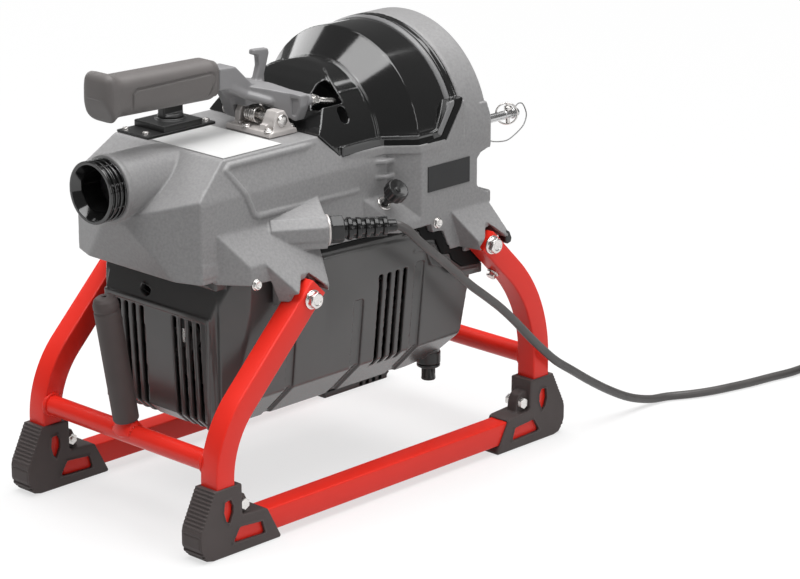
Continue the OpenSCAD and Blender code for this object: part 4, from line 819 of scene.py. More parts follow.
def operating_lever():
    f = Field((-65, -121, 403), (65, -26, 482), 0.8)
    f.add(prism(0, [(-116.4, 449), (-115.7, 472), (-92, 470), (-70, 449), (-44, 441), (-44, 428), (-66, 427),
        (-84, 437), (-98, 446)], -13, 13, 2.2))
    for side in SIDES:
        # Arm, with a sunk panel in its plate at the end
        f.add(side(meet(1.2, prism(2, [(0, -76), (10, -76), (30, -60), (50, -48), (63, -46.5), (63, -34.5),
            (54, -34.5), (40, -38), (8, -46), (0, -46)], 408, 446, 1.6),
            prism(1, [(-4, 420), (12, 424), (34, 419), (52, 410.5), (56, 410.5), (63.5, 427), (63.5, 439), (40, 441),
            (12, 446), (-4, 446)], -100, 0, 1.6))), 2.2)
        f.add(side(bead([(9, -98, 447), (12, -78, 437), (30, -60, 430)], 4.0)), 3.5)
    for side in SIDES:
        f.cut(side(prism(1, [(50, 434.5), (60, 434.5), (60.6, 428), (56, 416), (51, 416)], -60, -45.6, 1.0)), 0.5)
        f.add(side(rod(LINK, LINK_DIR, 6.2, -2, 3, 0.8)), 0.6)
    f.add(prism(0, [(-88, 440), (-46, 436), (-53, 425), (-57.5, 413), (-61, 407.5), (-69, 407), (-73, 411),
        (-79, 424)], -27, -10, 1.8), 5.0)
    f.add(pivot_bar(8.0, -27, -10, 1.0), 2.0)
    f.add(prism(0, [(-58, 436), (-40, 436), (-41, 452), (-37, 463), (-33.5, 474), (-35, 479), (-48, 480),
        (-56, 480.5), (-57, 475.5), (-49.5, 472.5), (-48.5, 462), (-53, 448)], -6, 2, 1.6), 5.0)
    f.cut(pivot_bar(4.56, -40, 40))
    f.cut(pivot_bar(13, -10, 60))
    f.cut(pivot_bar(13, -60, -27))
    f.skin("operating_lever_casting", "lever", "grey_paint", LEVER, ["operating_lever"])


def link_rods():
    f = Field((52, -42, 414), (70, 18, 441), 0.5)
    f.add(rod(LINK, LINK_DIR, 3.6, 0, 41, 0.8))
    hex_head(f, LINK, LINK_DIR, 11, 7, 13)
    f.add(rod(LINK, LINK_DIR, 5.2, 13, 14.4, 0.4))
    for i in range(7):
        f.cut(turned_on([(3.1, 15.6 + 1.6 * i), (5, 14.8 + 1.6 * i), (5, 16.4 + 1.6 * i)], LINK, LINK_DIR), 0.2)
    f.skin_pair("_link_rod", "lever", "steel", ZINC, ["link_rods"])


def lever_grip():
    rise = math.radians(1.7)
    along, up = (0, -math.cos(rise), math.sin(rise)), (0, math.sin(rise), math.cos(rise))
    place = ((0.0, -116.0, 461.0), (RIGHT, up, along), 180)
    f = Field((-24, -277, 432), (24, -113, 493), 0.8)

    def band(wide, high, low, high_end, r):
        return framed(block((-wide, -high, low), (wide, high, high_end), r), *place)
    f.add(band(18.2, 21.6, 0.5, 158, 13.0))
    f.add(band(18.6, 22.2, 0.2, 7, 12.0), 4.0)
    f.add(band(21.4, 26, 147.5, 159, 9.0), 14.0)
    f.add(band(20.0, 24.5, 156, 159.6, 8.0), 1.0)
    for x in (-17.9, 17.9):
        f.cut(framed(bead([(x, -19, 124), (x, 2, 124), (x, 6.5, 119), (x, 9.5, 15), (x, 6, 9), (x, -2, 11),
            (x * 0.97, -15, 20)], 1.4), *place), 0.6)
    f.cut(framed(prism(0, [(-1, 161), (-32, 147.5), (-32, 175), (-1, 175)], -40, 40), *place), 3.0)
    f.skin("lever_grip_rubber", "lever", "black_plastic", GRIP, ["lever_grip"])


BRACKET_SCREWS = [(x, y) for x in (16, 50) for y in (-81.5, -50.5)]
WALL_SCREWS = ((125.8, -173, 272.6), (124.5, 98.8, 282))


def lever_bracket():
    f = Field((-14, -88, TOP_H - 0.5), (58, -44, 427), 0.7)
    f.add(prism(0, [(-87, TOP_H), (-84.5, TOP_H + 5.6), (-47.5, TOP_H + 5.6), (-45, TOP_H)], -12, 57, 1.0))
    for x0, x1, wide in ((36, 54, 16), (-8, 0, 12)):
        y = PIVOT[0]
        f.add(prism(0, [(y - wide, TOP_H + 3), (y + wide, TOP_H + 3), (y + 9.4, PIVOT[1] + 3), (y + 5, PIVOT[1] + 10),
            (y - 5, PIVOT[1] + 10), (y - 9.4, PIVOT[1] + 3)], x0, x1, 1.4), 3.0)
        if x0 > 0:
            f.add(prism(1, [(x0 - 3, TOP_H + 4), (x1 + 3, TOP_H + 4), (x1, TOP_H + 12), (x0, TOP_H + 12)], y - 15,
                y + 15, 1.2), 2.0)
    f.cut(pivot_bar(4.5, -70, 70))
    for x, y in BRACKET_SCREWS:
        f.cut(rod((x, y, TOP_H), UP, 5.2, 5.4, 30))
        f.cut(rod((x, y, TOP_H), UP, 3.0, -2, 30))
    f.skin("lever_bracket_casting", "stand", "dark_metal", CAST, ["lever_bracket"])
    f = Field((-42, PIVOT[0] - 8, PIVOT[1] - 8), (59, PIVOT[0] + 8, PIVOT[1] + 8), 0.5)
    f.add(pivot_bar(4.45, -31, 55, 0.4))
    for end in (-1, 1):
        f.add(turned_on([(0, 0), (7, 0), (6.6, 1.8), (4.4, 3), (0, 3.2)], (54 if end > 0 else -29.4, *PIVOT),
            (end, 0, 0), 0.4), 0.3)
    f.skin("pivot_pin_turned", "stand", "steel", ZINC, ["pivot_pin"])


def housing_screws():
    places = [((x, y, TOP_H + 5.6), UP, 8, 3.6) for x, y in BRACKET_SCREWS]
    places += [((sx * x, y, z), (sx, 0, 0), 10, 4) for sx in (1, -1) for x, y, z in WALL_SCREWS]
    for n, (at, way, flats, high) in enumerate(places):
        f = Field(np.array(at) - 9, np.array(at) + 9, 0.45)
        f.add(rod(at, way, 3, -6, 1))
        f.add(turned_on([(0, 0), (flats / 2 + 1.3, 0), (flats / 2 + 1.1, 1.1), (0, 1.1)], at, way, 0.3))
        hex_head(f, at, way, flats, 0.9, high)
        f.cut(turned_on([(0, high - 0.5), (flats / 3.4, high - 0.5), (flats / 3.4, high + 2), (0, high + 2)], at, way,
            0.3), 0.3)
        f.skin("housing_screw_%d" % (n + 1), "stand", "steel", ZINC, ["housing_screws"])


# Cable mouth, cord entry and knobs

def front_coupling():
    tip = -264 - 21.6
    f = Field((-34.5, tip - 1, AXIS_H - 34.5), (34.5, -249, AXIS_H + 34.5), 0.6)
    f.add(turned([(24, tip + 11), (29.6, tip), (33.3, tip), (33.4, tip + 2.4), (30, tip + 4.6), (29.4, -266.2),
        (33, -266.2), (33, -264), (29, -264), (29, -250), (24, -250)], r=0.5))
    for y in (6.6, 13.6):
        f.add(turned([(28.5, tip + y), (33, tip + y), (33, tip + y + 2.4), (28.5, tip + y + 2.4)], r=0.7), 0.5)
    for i in range(8):
        a = math.radians(22.5 + 45 * i)
        way = np.array([math.cos(a), 0, math.sin(a)])
        f.add(bead([way * 30.6 + (0, tip + 4, AXIS_H), way * 30.6 + (0, -265, AXIS_H)], 1.1), 0.5)
    f.skin("front_coupling_ring", "stand", "black_plastic", BLACK, ["front_coupling"])


def cord_entry():
    f = Field((108, -92, 290), (178, 8, 330), 0.6)
    f.add(turned_on([(5, -12), (12, -12), (12, 0), (15.5, 0), (15.5, 4), (13.2, 4.5), (13.2, 18), (5, 18)], BOSS,
        BOSS_DIR, 0.8))
    nut = framed(prism(2, ring_of(6, 15.4, math.pi / 6), 4.5, 17.5, 0.8), BOSS, BOSS_AXES, 24)
    f.add(meet(0.5, nut, turned_on([(0, 4), (14.2, 4), (15.2, 6), (15.2, 16), (14, 18), (0, 18)], BOSS, BOSS_DIR)),
        0.3)
    f.cut(rod(BOSS, BOSS_DIR, 4.9, -14, 20))
    f.skin("gland_nut_moulding", "stand", "black_plastic", SATIN, ["gland_nut"])
    f = Field((125, -65, 293), (178, 4, 327), 0.55)
    f.add(turned_on([(4.7, 18), (9.6, 18), (9.6, 21), (8.2, 23), (6.6, 70), (6.2, 75.5), (4.7, 76)], BOSS, BOSS_DIR,
        0.6))
    for i in range(5):
        at, r = 22 + i * 9.6, 12.4 - 0.75 * i
        f.add(turned_on([(5, at), (r, at), (r - 0.3, at + 5.2), (5, at + 5.2)], BOSS, BOSS_DIR, 1.2), 1.0)
    f.add(framed(block((-1.6, -11, 20), (1.6, 11, 66), 1.0), BOSS, BOSS_AXES, 80), 0.5)
    f.cut(rod(BOSS, BOSS_DIR, 4.9, 10, 80))
    return f.skin("strain_relief_boot", "stand", "black_plastic", BOOT, ["strain_relief"])


KNOB = np.array([104.0, 36.0, 311.5])
KNOB_DIR = np.array([math.sin(math.radians(46)), 0, math.cos(math.radians(46))])


def side_knob():
    f = Field((92, 20, 299), (141, 52, 346), 0.5)
    flat = (KNOB, ((KNOB_DIR[2], 0, -KNOB_DIR[0]), BACK, KNOB_DIR), 40)
    f.add(turned_on([(0, -13), (4, -13), (4, 12), (6.8, 12.5), (6.8, 19), (11.4, 19.6), (13, 22), (13, 30),
        (11.6, 33), (9.6, 32.4), (3.4, 29.8), (3.0, 31.4), (0, 31.8)], KNOB, KNOB_DIR, 0.6))
    for i in range(12):
        a = math.radians(30 * i)
        x, y = 14.0 * math.cos(a), 14.0 * math.sin(a)
        f.cut(framed(rod((x, y, 0), UP, 2.3, 18, 36), *flat), 0.8)
    f.skin("side_knob_head", "thumb_screw", "black_plastic", SATIN, ["side_knob"])
    f = Field(KNOB - 13, KNOB + 13, 0.45)
    f.add(turned_on([(4.3, 0.6), (8.4, 0.6), (8.6, 1.0), (8.2, 3.0), (7.6, 3.4), (4.6, 3.4), (4.3, 3.0)], KNOB,
        KNOB_DIR, 0.3))
    f.skin("knob_washer", "stand", "steel", ZINC)
    # Light ring at the boss face: partly the washer under the gland, partly a painted highlight of the boss's end
    # edge.
    f = Field(BOSS - (18, 12, 18), BOSS + (18, 16, 18), 0.6)
    f.add(turned_on([(12.3, -0.3), (16.2, -0.3), (16.6, 0.2), (16.6, 1.8), (16.0, 2.4), (12.3, 2.4)], BOSS, BOSS_DIR,
        0.4))
    f.skin("gland_washer_and_highlight_ring", "stand", "steel", CAST)


def drain_plug():
    f = Field((48.5, 134.5, 73), (78.5, 164.5, 112), 0.55)
    f.add(turned_on([(0, -20), (8.0, -20), (8.2, -18), (4.8, -6.5), (4.8, -4.6), (12.6, -4.4), (13.4, -3.4),
        (13.4, -0.4), (7, -0.3), (7, 15.6), (0, 15.6)], DRAIN, UP, 0.7))
    for i in range(6):
        a = math.radians(60 * i)
        f.add(framed(block((3, -1, -19.4), (8.1, 1, -4), 0.6), DRAIN,
            ((math.cos(a), math.sin(a), 0), (-math.sin(a), math.cos(a), 0), UP), 26), 0.8)
    f.skin("drain_plug_stopper", "drain", "black_plastic", SATIN, ["drain_plug"])
    f = Field((48.5, 134.5, 94), (78.5, 164.5, 114), 0.55)
    f.add(turned_on([(12.6, 0.1), (13.2, 0.1), (13.8, 0.8), (13.8, 13), (13.2, 14.4), (12.6, 14.4)], DRAIN, UP, 0.3))
    f.skin("drain_collar_ring", "stand", "black_plastic", SATIN)


# Feet

def feet():
    half = TUBE / 2 + 2.6
    x0, x1 = LEG_X - half, LEG_X + half
    f = Field((x0 - 1, -FOOT_Y - 40, 0), (x1 + 1, -FOOT_Y + 77, 77), 0.7)

    def at(points):
        return [(y - FOOT_Y, z) for y, z in points]
    f.add(prism(0, at([(-18.6, 75.4), (-37, 38), (-38.5, 31), (-38.5, 17), (-36, 8.5), (-29.5, 2), (-21, 0), (74, 0),
        (75.2, 2.4), (57, 36.5), (54, 38.2), (23, 40), (20.8, 43), (20.4, 75.4)]), x0, x1, 2.0))
    # Clamp ear
    f.add(prism(0, at([(16, 36), (37, 36), (34.5, 52), (31, 59), (24, 61.5), (16, 61.5)]), LEG_X - 7, LEG_X + 7, 1.5),
        3.0)
    window = at([(15.5, 28.5), (47, 26), (51.5, 11.5), (5.5, 13)])
    leaf = at([(-4.8, 61), (3.2, 62), (6.4, 55), (6.2, 47), (1, 35.5), (-3.4, 40), (-6.4, 50)])
    for shape in (window, leaf):
        for x in (x0, x1):
            f.add(bead([(x, *p) for p in shape + shape[:1]], 1.5), 1.5)
    f.cut(prism(0, window, x0 - 5, x1 + 5, 2.5), 0.8)
    f.cut(prism(0, leaf, x0 - 5, x1 + 5, 1.6), 0.8)
    # Ridges of the outer end, and the outlined panel below them
    for i in range(11):
        t = 0.04 + 0.1 * i
        y, z = -FOOT_Y - 18.9 - 18.5 * t, 74.8 - 37.4 * t
        f.cut(rod((LEG_X, y, z), RIGHT, 1.5, -20, 20), 0.3)
    f.cut(bead([(x0 + 2, -FOOT_Y - 38.6, 29.5), (x1 - 2, -FOOT_Y - 38.6, 29.5), (x1 - 2, -FOOT_Y - 38.6, 15),
        (x0 + 2, -FOOT_Y - 38.6, 15), (x0 + 2, -FOOT_Y - 38.6, 29.5)], 0.9), 0.4)
    for i in range(3):
        f.cut(rod((LEG_X, -FOOT_Y - 36.9 + 2.6 * i, 12.2 - 4.0 * i), RIGHT, 1.4, -20, 20), 0.3)
    s = TUBE / 2 + 0.2
    f.cut(block((LEG_X - s, -FOOT_Y - s, 9.5), (LEG_X + s, -FOOT_Y + s, 90)))
    f.cut(block((LEG_X - s, -FOOT_Y, 9.3), (LEG_X + s, -FOOT_Y + 90, 9.7 + TUBE)))
    f.cut(rod((LEG_X, -FOOT_Y + 27.5, 49.5), RIGHT, 3.1, -20, 20))
    for name, sx, sy in (("right_front", 1, 1), ("left_front", -1, 1), ("right_rear", 1, -1), ("left_rear", -1, -1)):
        f.skin(name + "_foot_boot", "stand", "rubber", RUBBER, [name + "_foot"], flip=(sx, sy, 1))


# Post with its sleeve

POST = np.array([0.0, -FOOT_Y, CROSS_H])
POST_DIR = np.array([0.0, -math.sin(math.radians(10)), math.cos(math.radians(10))])


def post_and_sleeve():
    f = Field((-27, -FOOT_Y - 40, 84), (27, -FOOT_Y + 14, 250), 0.9)
    f.add(rod(POST, POST_DIR, 9.45, 0, 147.5, 1.0))
    f.add(meet(0, rod(POST, RIGHT, 11.5, -16, 16, 0.4), beyond(2, 99)), 13.0)
    f.cut(rod(POST, RIGHT, 11.05, -60, 60))
    f.cut(rod(POST, POST_DIR, 6.5, 30, 160))
    f.skin("front_post_tube", "stand", "red_paint", RED, ["front_post"])
    f = Field((-16, -FOOT_Y - 45, 108), (16, -FOOT_Y + 15, 262), 0.7)
    f.add(turned_on([(0, 16), (13.2, 16), (14, 17.5), (14, 143), (13.2, 144.2), (13.2, 145.6), (14, 147), (14, 151),
        (12.4, 156), (9.4, 159), (5, 160.2), (0, 160.4)], POST, POST_DIR, 0.6))
    f.cut(rod(POST, POST_DIR, 9.5, 0, 148))
    f.cut(rod(POST, POST_DIR, 2.2, 100, 170), 1.0)
    f.skin("post_sleeve_grip", "stand", "rubber", RUBBER, ["post_sleeve"])


# Square tubes with rounded corners, and their welds

def tangents(p):
    """Unit directions along a line of points."""
    way = np.gradient(p, axis=0)
    return way / np.linalg.norm(way, axis=1)[:, None]


def tube_faces(rings, n):
    """Walls between rings of n points, and the two end caps."""
    walls = [(i * n + k, i * n + (k + 1) % n, (i + 1) * n + (k + 1) % n, (i + 1) * n + k)
             for i in range(rings - 1) for k in range(n)]
    return walls + [tuple(range(n))[::-1], tuple((rings - 1) * n + k for k in range(n))]


def square_ring(size, r, steps=4):
    """A square section with round corners."""
    made = []
    for k, (cx, cy) in enumerate(((1, 1), (-1, 1), (-1, -1), (1, -1))):
        for i in range(steps + 1):
            a = math.pi / 2 * (k + i / steps)
            made.append(((size / 2 - r) * cx + r * math.cos(a), (size / 2 - r) * cy + r * math.sin(a)))
    return made


def square_tube(name, x, path, replaced):
    """A square tube of rounded section along points [y, z]."""
    ring = square_ring(TUBE, 1.9)
    p = np.array(path, float)
    way = tangents(p)
    points = [(x + u, y - v * tz, z + v * ty) for (y, z), (ty, tz) in zip(p, way) for u, v in ring]
    made = mesh_object(name, np.array(points) * MM, tube_faces(len(p), len(ring)), sharp=40)
    fix_winding(made)
    dress(made, "stand", RED, [replaced])


def fix_winding(made):
    """Turns all faces outwards."""
    shape = bmesh.new()
    shape.from_mesh(made.data)
    bmesh.ops.recalc_face_normals(shape, faces=shape.faces)
    shape.to_mesh(made.data)
    shape.free()


def leg_path(bolt_y, bend, side, past):
    """A leg's line [y, z]: up from its foot, round a bend and past its bolt."""
    knee = BOLT_H - (FOOT_Y - bolt_y)
    reach = bend * math.tan(math.radians(22.5))
    run = (FOOT_Y - bolt_y) * math.sqrt(2) - reach + past
    pts = [(-FOOT_Y, 9.6), (-FOOT_Y, 30), (-FOOT_Y, knee - reach - 2)]
    for i in range(25):
        a = math.radians(45) * i / 24
        pts.append((-FOOT_Y + bend * (1 - math.cos(a)), knee - reach + bend * math.sin(a)))
    last = np.array(pts[-1])
    pts += [tuple(last + np.array([1, 1]) / math.sqrt(2) * t) for t in (2, run / 2, run - 0.5)]
    return [(y * side, z) for y, z in pts]


for tag, path in (("_front_leg", leg_path(FRONT_BOLT, 110, 1, 16)), ("_rear_leg", leg_path(REAR_BOLT, 160, -1, 7)),
        ("_rail", [(y, RAIL_H) for y in np.linspace(-230.4, 230.4, 9)])):
    for word, sx in RIGHT_LEFT:
        square_tube(word + tag + "_tube", sx * LEG_X, path, word + tag)


def weld_rings():
    """Rippled weld beads where the round cross tubes meet the legs."""
    points, faces = [], []
    n, m = 96, 10
    for sx in (-1, 1):
        for y in (-FOOT_Y, FOOT_Y):
            base = len(points)
            for i in range(n):
                a = 2 * math.pi * i / n
                thick = 2.3 + 0.45 * abs(math.sin(13 * a + y)) + 0.3 * math.sin(3 * a + sx)
                for k in range(m):
                    b = 2 * math.pi * k / m
                    r = 11.3 + thick * math.cos(b)
                    points.append((sx * (LEG_X - TUBE / 2 - 0.6 - thick * 0.9 * math.sin(b)), y + r * math.cos(a),
                        CROSS_H + r * math.sin(a)))
            faces += [(base + i * m + k, base + i * m + (k + 1) % m, base + (i + 1) % n * m + (k + 1) % m,
                base + (i + 1) % n * m + k) for i in range(n) for k in range(m)]
    made = mesh_object("weld_beads", np.array(points) * MM, faces)
    fix_winding(made)
    dress(made, "stand", RED)


weld_rings()


# Bolts

def hex_head(f, at, way, flats, low, high):
    """A bolt's head with its upper corners turned off."""
    way = unit(way)
    side = unit(np.cross(way, UP if abs(way[2]) < 0.9 else BACK))
    up = np.cross(way, side)
    head = framed(prism(2, ring_of(6, flats / math.sqrt(3), 0.3), low, high, 0.3), at, (side, up, way), flats + high)
    cap = turned_on([(0, low), (flats / 2 + 0.9, low), (flats / 2 + 0.9, high - 1.2), (flats / 2 - 0.6, high),
        (0, high)], at, way)
    f.add(meet(0.2, head, cap))


def frame_bolts():
    for y, tag in ((-FRONT_BOLT, "front"), (REAR_BOLT, "rear")):
        x = LEG_X + TUBE / 2
        f = Field((x - 40, y - 12, BOLT_H - 12), (x + 11, y + 12, BOLT_H + 12), 0.5)
        at = (x, y, BOLT_H)
        f.add(rod(at, RIGHT, 4.9, -36, 3))
        f.add(rod(at, RIGHT, 10.6, 0.1, 2.1, 0.5))
        hex_head(f, at, (1, 0.0, 0), 16, 2, 9)
        f.add(turned_on([(0, 1.8), (9.6, 1.8), (8.4, 3.4), (0, 3.4)], at, RIGHT, 0.3), 0.3)
        f.cut(turned_on([(0, 8.4), (5, 8.4), (5, 12), (0, 12)], at, RIGHT, 0.4), 0.4)
        f.skin_pair("_" + tag + "_frame_bolt", "stand", "steel", ZINC, ["frame_bolts"])


def leg_screws():
    """Screw low on each rear leg, and the rubber pad at the end of each rear ear."""
    way = (0, -1, -1)
    f = Field((122, 164, 196), (146, 190, 222), 0.5)
    at = (133, 180.6, 209.4)
    f.add(rod(at, way, 7.2, 0, 1.4, 0.4))
    hex_head(f, at, way, 10, 1.2, 7)
    f.add(rod(at, way, 3, -4, 2))
    f.skin_pair("_leg_screw", "stand", "steel", ZINC)
    f = Field((124, 178, 242), (154, 194, 264), 0.6)
    f.add(prism(0, [(181, 262), (187.2, 259), (191, 251), (189.6, 246.4), (184, 245), (181, 248)], 139, 151.6, 1.6))
    f.cut(block((100, 170, 240), (142, 200, 250)), 0.5)
    f.skin_pair("_ear_pad", "stand", "rubber", SATIN)


def skid_ribs():
    f = Field((-60, -26, 88), (60, 90, 99), 0.9)
    for sx in (1, -1):
        x0, x1 = sorted((sx * 44, sx * 58.6))
        f.add(block((x0, -10, 90), (x1, 88, 97.4), 1.0))
        for i in range(4):
            f.cut(block((x0 - 2 if sx < 0 else sx * 54, 44 + 10 * i, 91.5),
                (sx * 54 if sx < 0 else x1 + 2, 49 + 10 * i, 96), 0.4), 0.4)
    f.add(block((-45, -10, 94), (45, 88, 97.4), 0.6), 0.6)
    f.skin("skid_plate_moulding", "stand", "black_plastic", SATIN, ["skid_plate"])


# Seam gasket, stepped where the seam drops to the rear block

def seam_gasket():
    f = Field((-126, -203, 218), (126, 180, 284), 1.0)
    outer = prism(2, mirrored([(96, -201), (96, -63), (103.6, -57), (117.4, 94), (123.0, 111), (123.0, 175.6)]),
        200, 300, 1.0)
    inner = prism(2, mirrored([(88, -194), (88, -70), (95, -64), (108, 94), (115, 111), (115, 168)]), 190, 310)
    steps = [(-210, 276.6), (-210, 281.2), (89.6, 281.2), (92, 272.2), (108, 270.4), (117, 251.8), (182, 251.8),
        (182, 220.7), (166, 220.7), (140.7, 222.7), (124.7, 234.2), (121.2, 242.2), (108.7, 243.7), (101.7, 261.2),
        (83.2, 263.7), (79.2, 276.6)]
    f.add(meet(0.6, less(outer, inner), prism(0, steps, -200, 200, 0.5)))
    f.skin("seam_gasket_strip", "stand", "rubber", SEAL, ["housing_gasket"])


# Hitch with its pin and wire

HITCH = (76, 0, 365)
PIN = (76, 265, 365)


def hitch():
    f = Field((64, 168, 353), (88, 284, 378), 0.5)
    f.add(rod(HITCH, BACK, 5, 169.5, 280, 1.0))
    f.add(rod(HITCH, BACK, 6.4, 271, 274, 0.8), 0.4)
    f.add(rod(HITCH, BACK, 9, 181.2, 184, 0.6), 1.0)
    f.cut(turned([(4.3, 258), (6, 258), (6, 259.4), (4.3, 259.4)], at=(76, 365)))
    f.cut(rod(PIN, UP, 2.56, -20, 20), 0.3)
    f.skin("hitch_rod_turned", "stand", "steel", STEEL, ["hitch_rod"])


def quick_pin():
    f = Field((60, 248, 350), (92, 281, 381), 0.4)
    f.add(rod(PIN, UP, 2.5, -10, 12, 0.8))
    f.add(rod(PIN, UP, 4.6, 5.3, 9.3, 0.8), 0.6)
    # Ring round the rod, as the wire lock of the pin
    ring = [(76 + 8.6 * math.cos(a), 263 + 8.6 * math.cos(a),
        366 + 12.2 * math.sin(a)) for a in np.linspace(0, 2 * math.pi, 49)]
    f.add(bead(ring, 1.05), 0.5)
    f.add(bead([(76, 265, 376.4), (76, 263, 378.2)], 1.6), 0.8)
    f.skin("quick_pin_ring", "cross_pin", "steel", ZINC, ["quick_pin"])


def tube_mesh(name, line, radius, finish, sides=10):
    """A round tube along a line, as a mesh."""
    p = np.array(line, float)
    way = tangents(p)
    side = unit(np.cross(way[0], (0.3, 0.2, 0.93)))
    points = []
    for at, t in zip(p, way):
        side = unit(side - t * (side @ t))
        up = np.cross(t, side)
        for k in range(sides):
            a = 2 * math.pi * k / sides
            points.append(at + radius * (math.cos(a) * side + math.sin(a) * up))
    made = mesh_object(name, np.array(points) * MM, tube_faces(len(p), sides))
    fix_winding(made)
    made.data.materials.append(finish)
    return made


lanyard = tube_mesh("pin_lanyard_wire", smooth_line(np.array([(82.6, 269.6, 373.8), (83.4, 274.5, 377.2),
    (83.8, 281, 375.5), (84, 287, 365), (84.4, 286.6, 358.5), (87, 279, 351.5), (93, 260, 346.5), (100.5, 238, 344.5),
    (108, 217, 348), (114, 199, 352.5), (117.5, 189, 356), (118.5, 178, 357)]), 6), 0.7, WIRE)
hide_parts("pin_lanyard")
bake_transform(lanyard)

turn = np.arange(0, 5.4, 1 / 32)
spring = tube_mesh("lever_spring_wire", np.vstack([[(3, PIVOT[0] - 14, TOP_H + 7.1), (3, PIVOT[0] - 11, TOP_H + 7.2),
    (3, PIVOT[0] - 6, PIVOT[1] - 8)], [(3 + 3.3 * t, PIVOT[0] + 8 * math.sin(2 * math.pi * t),
    PIVOT[1] - 8 * math.cos(2 * math.pi * t)) for t in turn[1:]], [(21.2, PIVOT[0] + 3, PIVOT[1] + 10),
    (21.4, PIVOT[0] - 1, PIVOT[1] + 13)]]), 1.2, ZINC)
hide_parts("lever_spring")
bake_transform(spring)


# Switch

SWITCH = (-59, -122, TOP_H)
PLATE_SCREWS = ((-78, -169), (-48, -167), (-45, -83.5))


def switch():
    f = Field((-85, -179, TOP_H - 1), (-32, -78, TOP_H + 4), 0.6)
    f.add(block((-83.6, -177, TOP_H - 0.4), (-33.6, -80, TOP_H + 2.4), 0.8))
    for x, y in PLATE_SCREWS:
        f.cut(rod((x, y, TOP_H), UP, 4.4, 1.9, 8), 0.4)
    f.skin("switch_base_plate", "stand", "black_plastic", SATIN, ["switch_plate"])
    for n, (x, y) in enumerate(PLATE_SCREWS):
        f = Field((x - 6, y - 6, TOP_H + 1), (x + 6, y + 6, TOP_H + 7), 0.35)
        f.add(turned_on([(0, 1.6), (4.1, 1.6), (4.1, 2.6), (3.2, 4.2), (0, 4.8)], (x, y, TOP_H), UP, 0.3))
        f.cut(block((x - 2.6, y - 0.5, TOP_H + 3.6), (x + 2.6, y + 0.5, TOP_H + 8)), 0.2)
        f.cut(block((x - 0.5, y - 2.6, TOP_H + 3.6), (x + 0.5, y + 2.6, TOP_H + 8)), 0.2)
        f.skin("switch_plate_screw_%d" % (n + 1), "stand", "steel", ZINC, ["switch_screws"])
    f = Field((-84, -154, TOP_H + 1), (-34, -97, 411), 0.6)
    f.add(block((-83, -153, TOP_H + 1.2), (-35, -98, TOP_H + 9.2), 1.2))
    f.add(turned_on([(0, 8), (17, 8), (16.4, 11.2), (0, 11.2)], SWITCH, UP, 0.5), 0.8)
    f.cut(turned_on([(15.2, 10.4), (16, 10.4), (16, 12), (15.2, 12)], SWITCH, UP))
    f.cut(rod(SWITCH, UP, 6.2, 1, 20))
    f.skin("switch_block_moulding", "stand", "black_plastic", SATIN, ["switch_block"])
    f = Field((-74, -137, TOP_H + 3), (-44, -107, 431), 0.5)
    f.add(turned_on([(0, 3.4), (5, 3.4), (5, 11.5), (14.5, 11.6), (14.5, 13), (12.6, 15.6), (0, 15.8)], SWITCH, UP,
        0.6))
    f.add(meet(1.0, block((-64.5, -136, TOP_H + 11.6), (-53.5, -108, TOP_H + 31.4), 2.0),
        prism(1, [(-66, TOP_H + 11), (-52, TOP_H + 11), (-54.6, TOP_H + 32), (-63.4, TOP_H + 32)], -200, 0, 1.0)),
        1.5)
    f.cut(bead([(-59, -136.5, TOP_H + 31.6), (-59, -121, TOP_H + 31.6)], 0.8))
    f.skin("switch_knob_moulding", "selector", "black_plastic", SATIN, ["switch_knob"])


# Plug and tie of the coiled cord

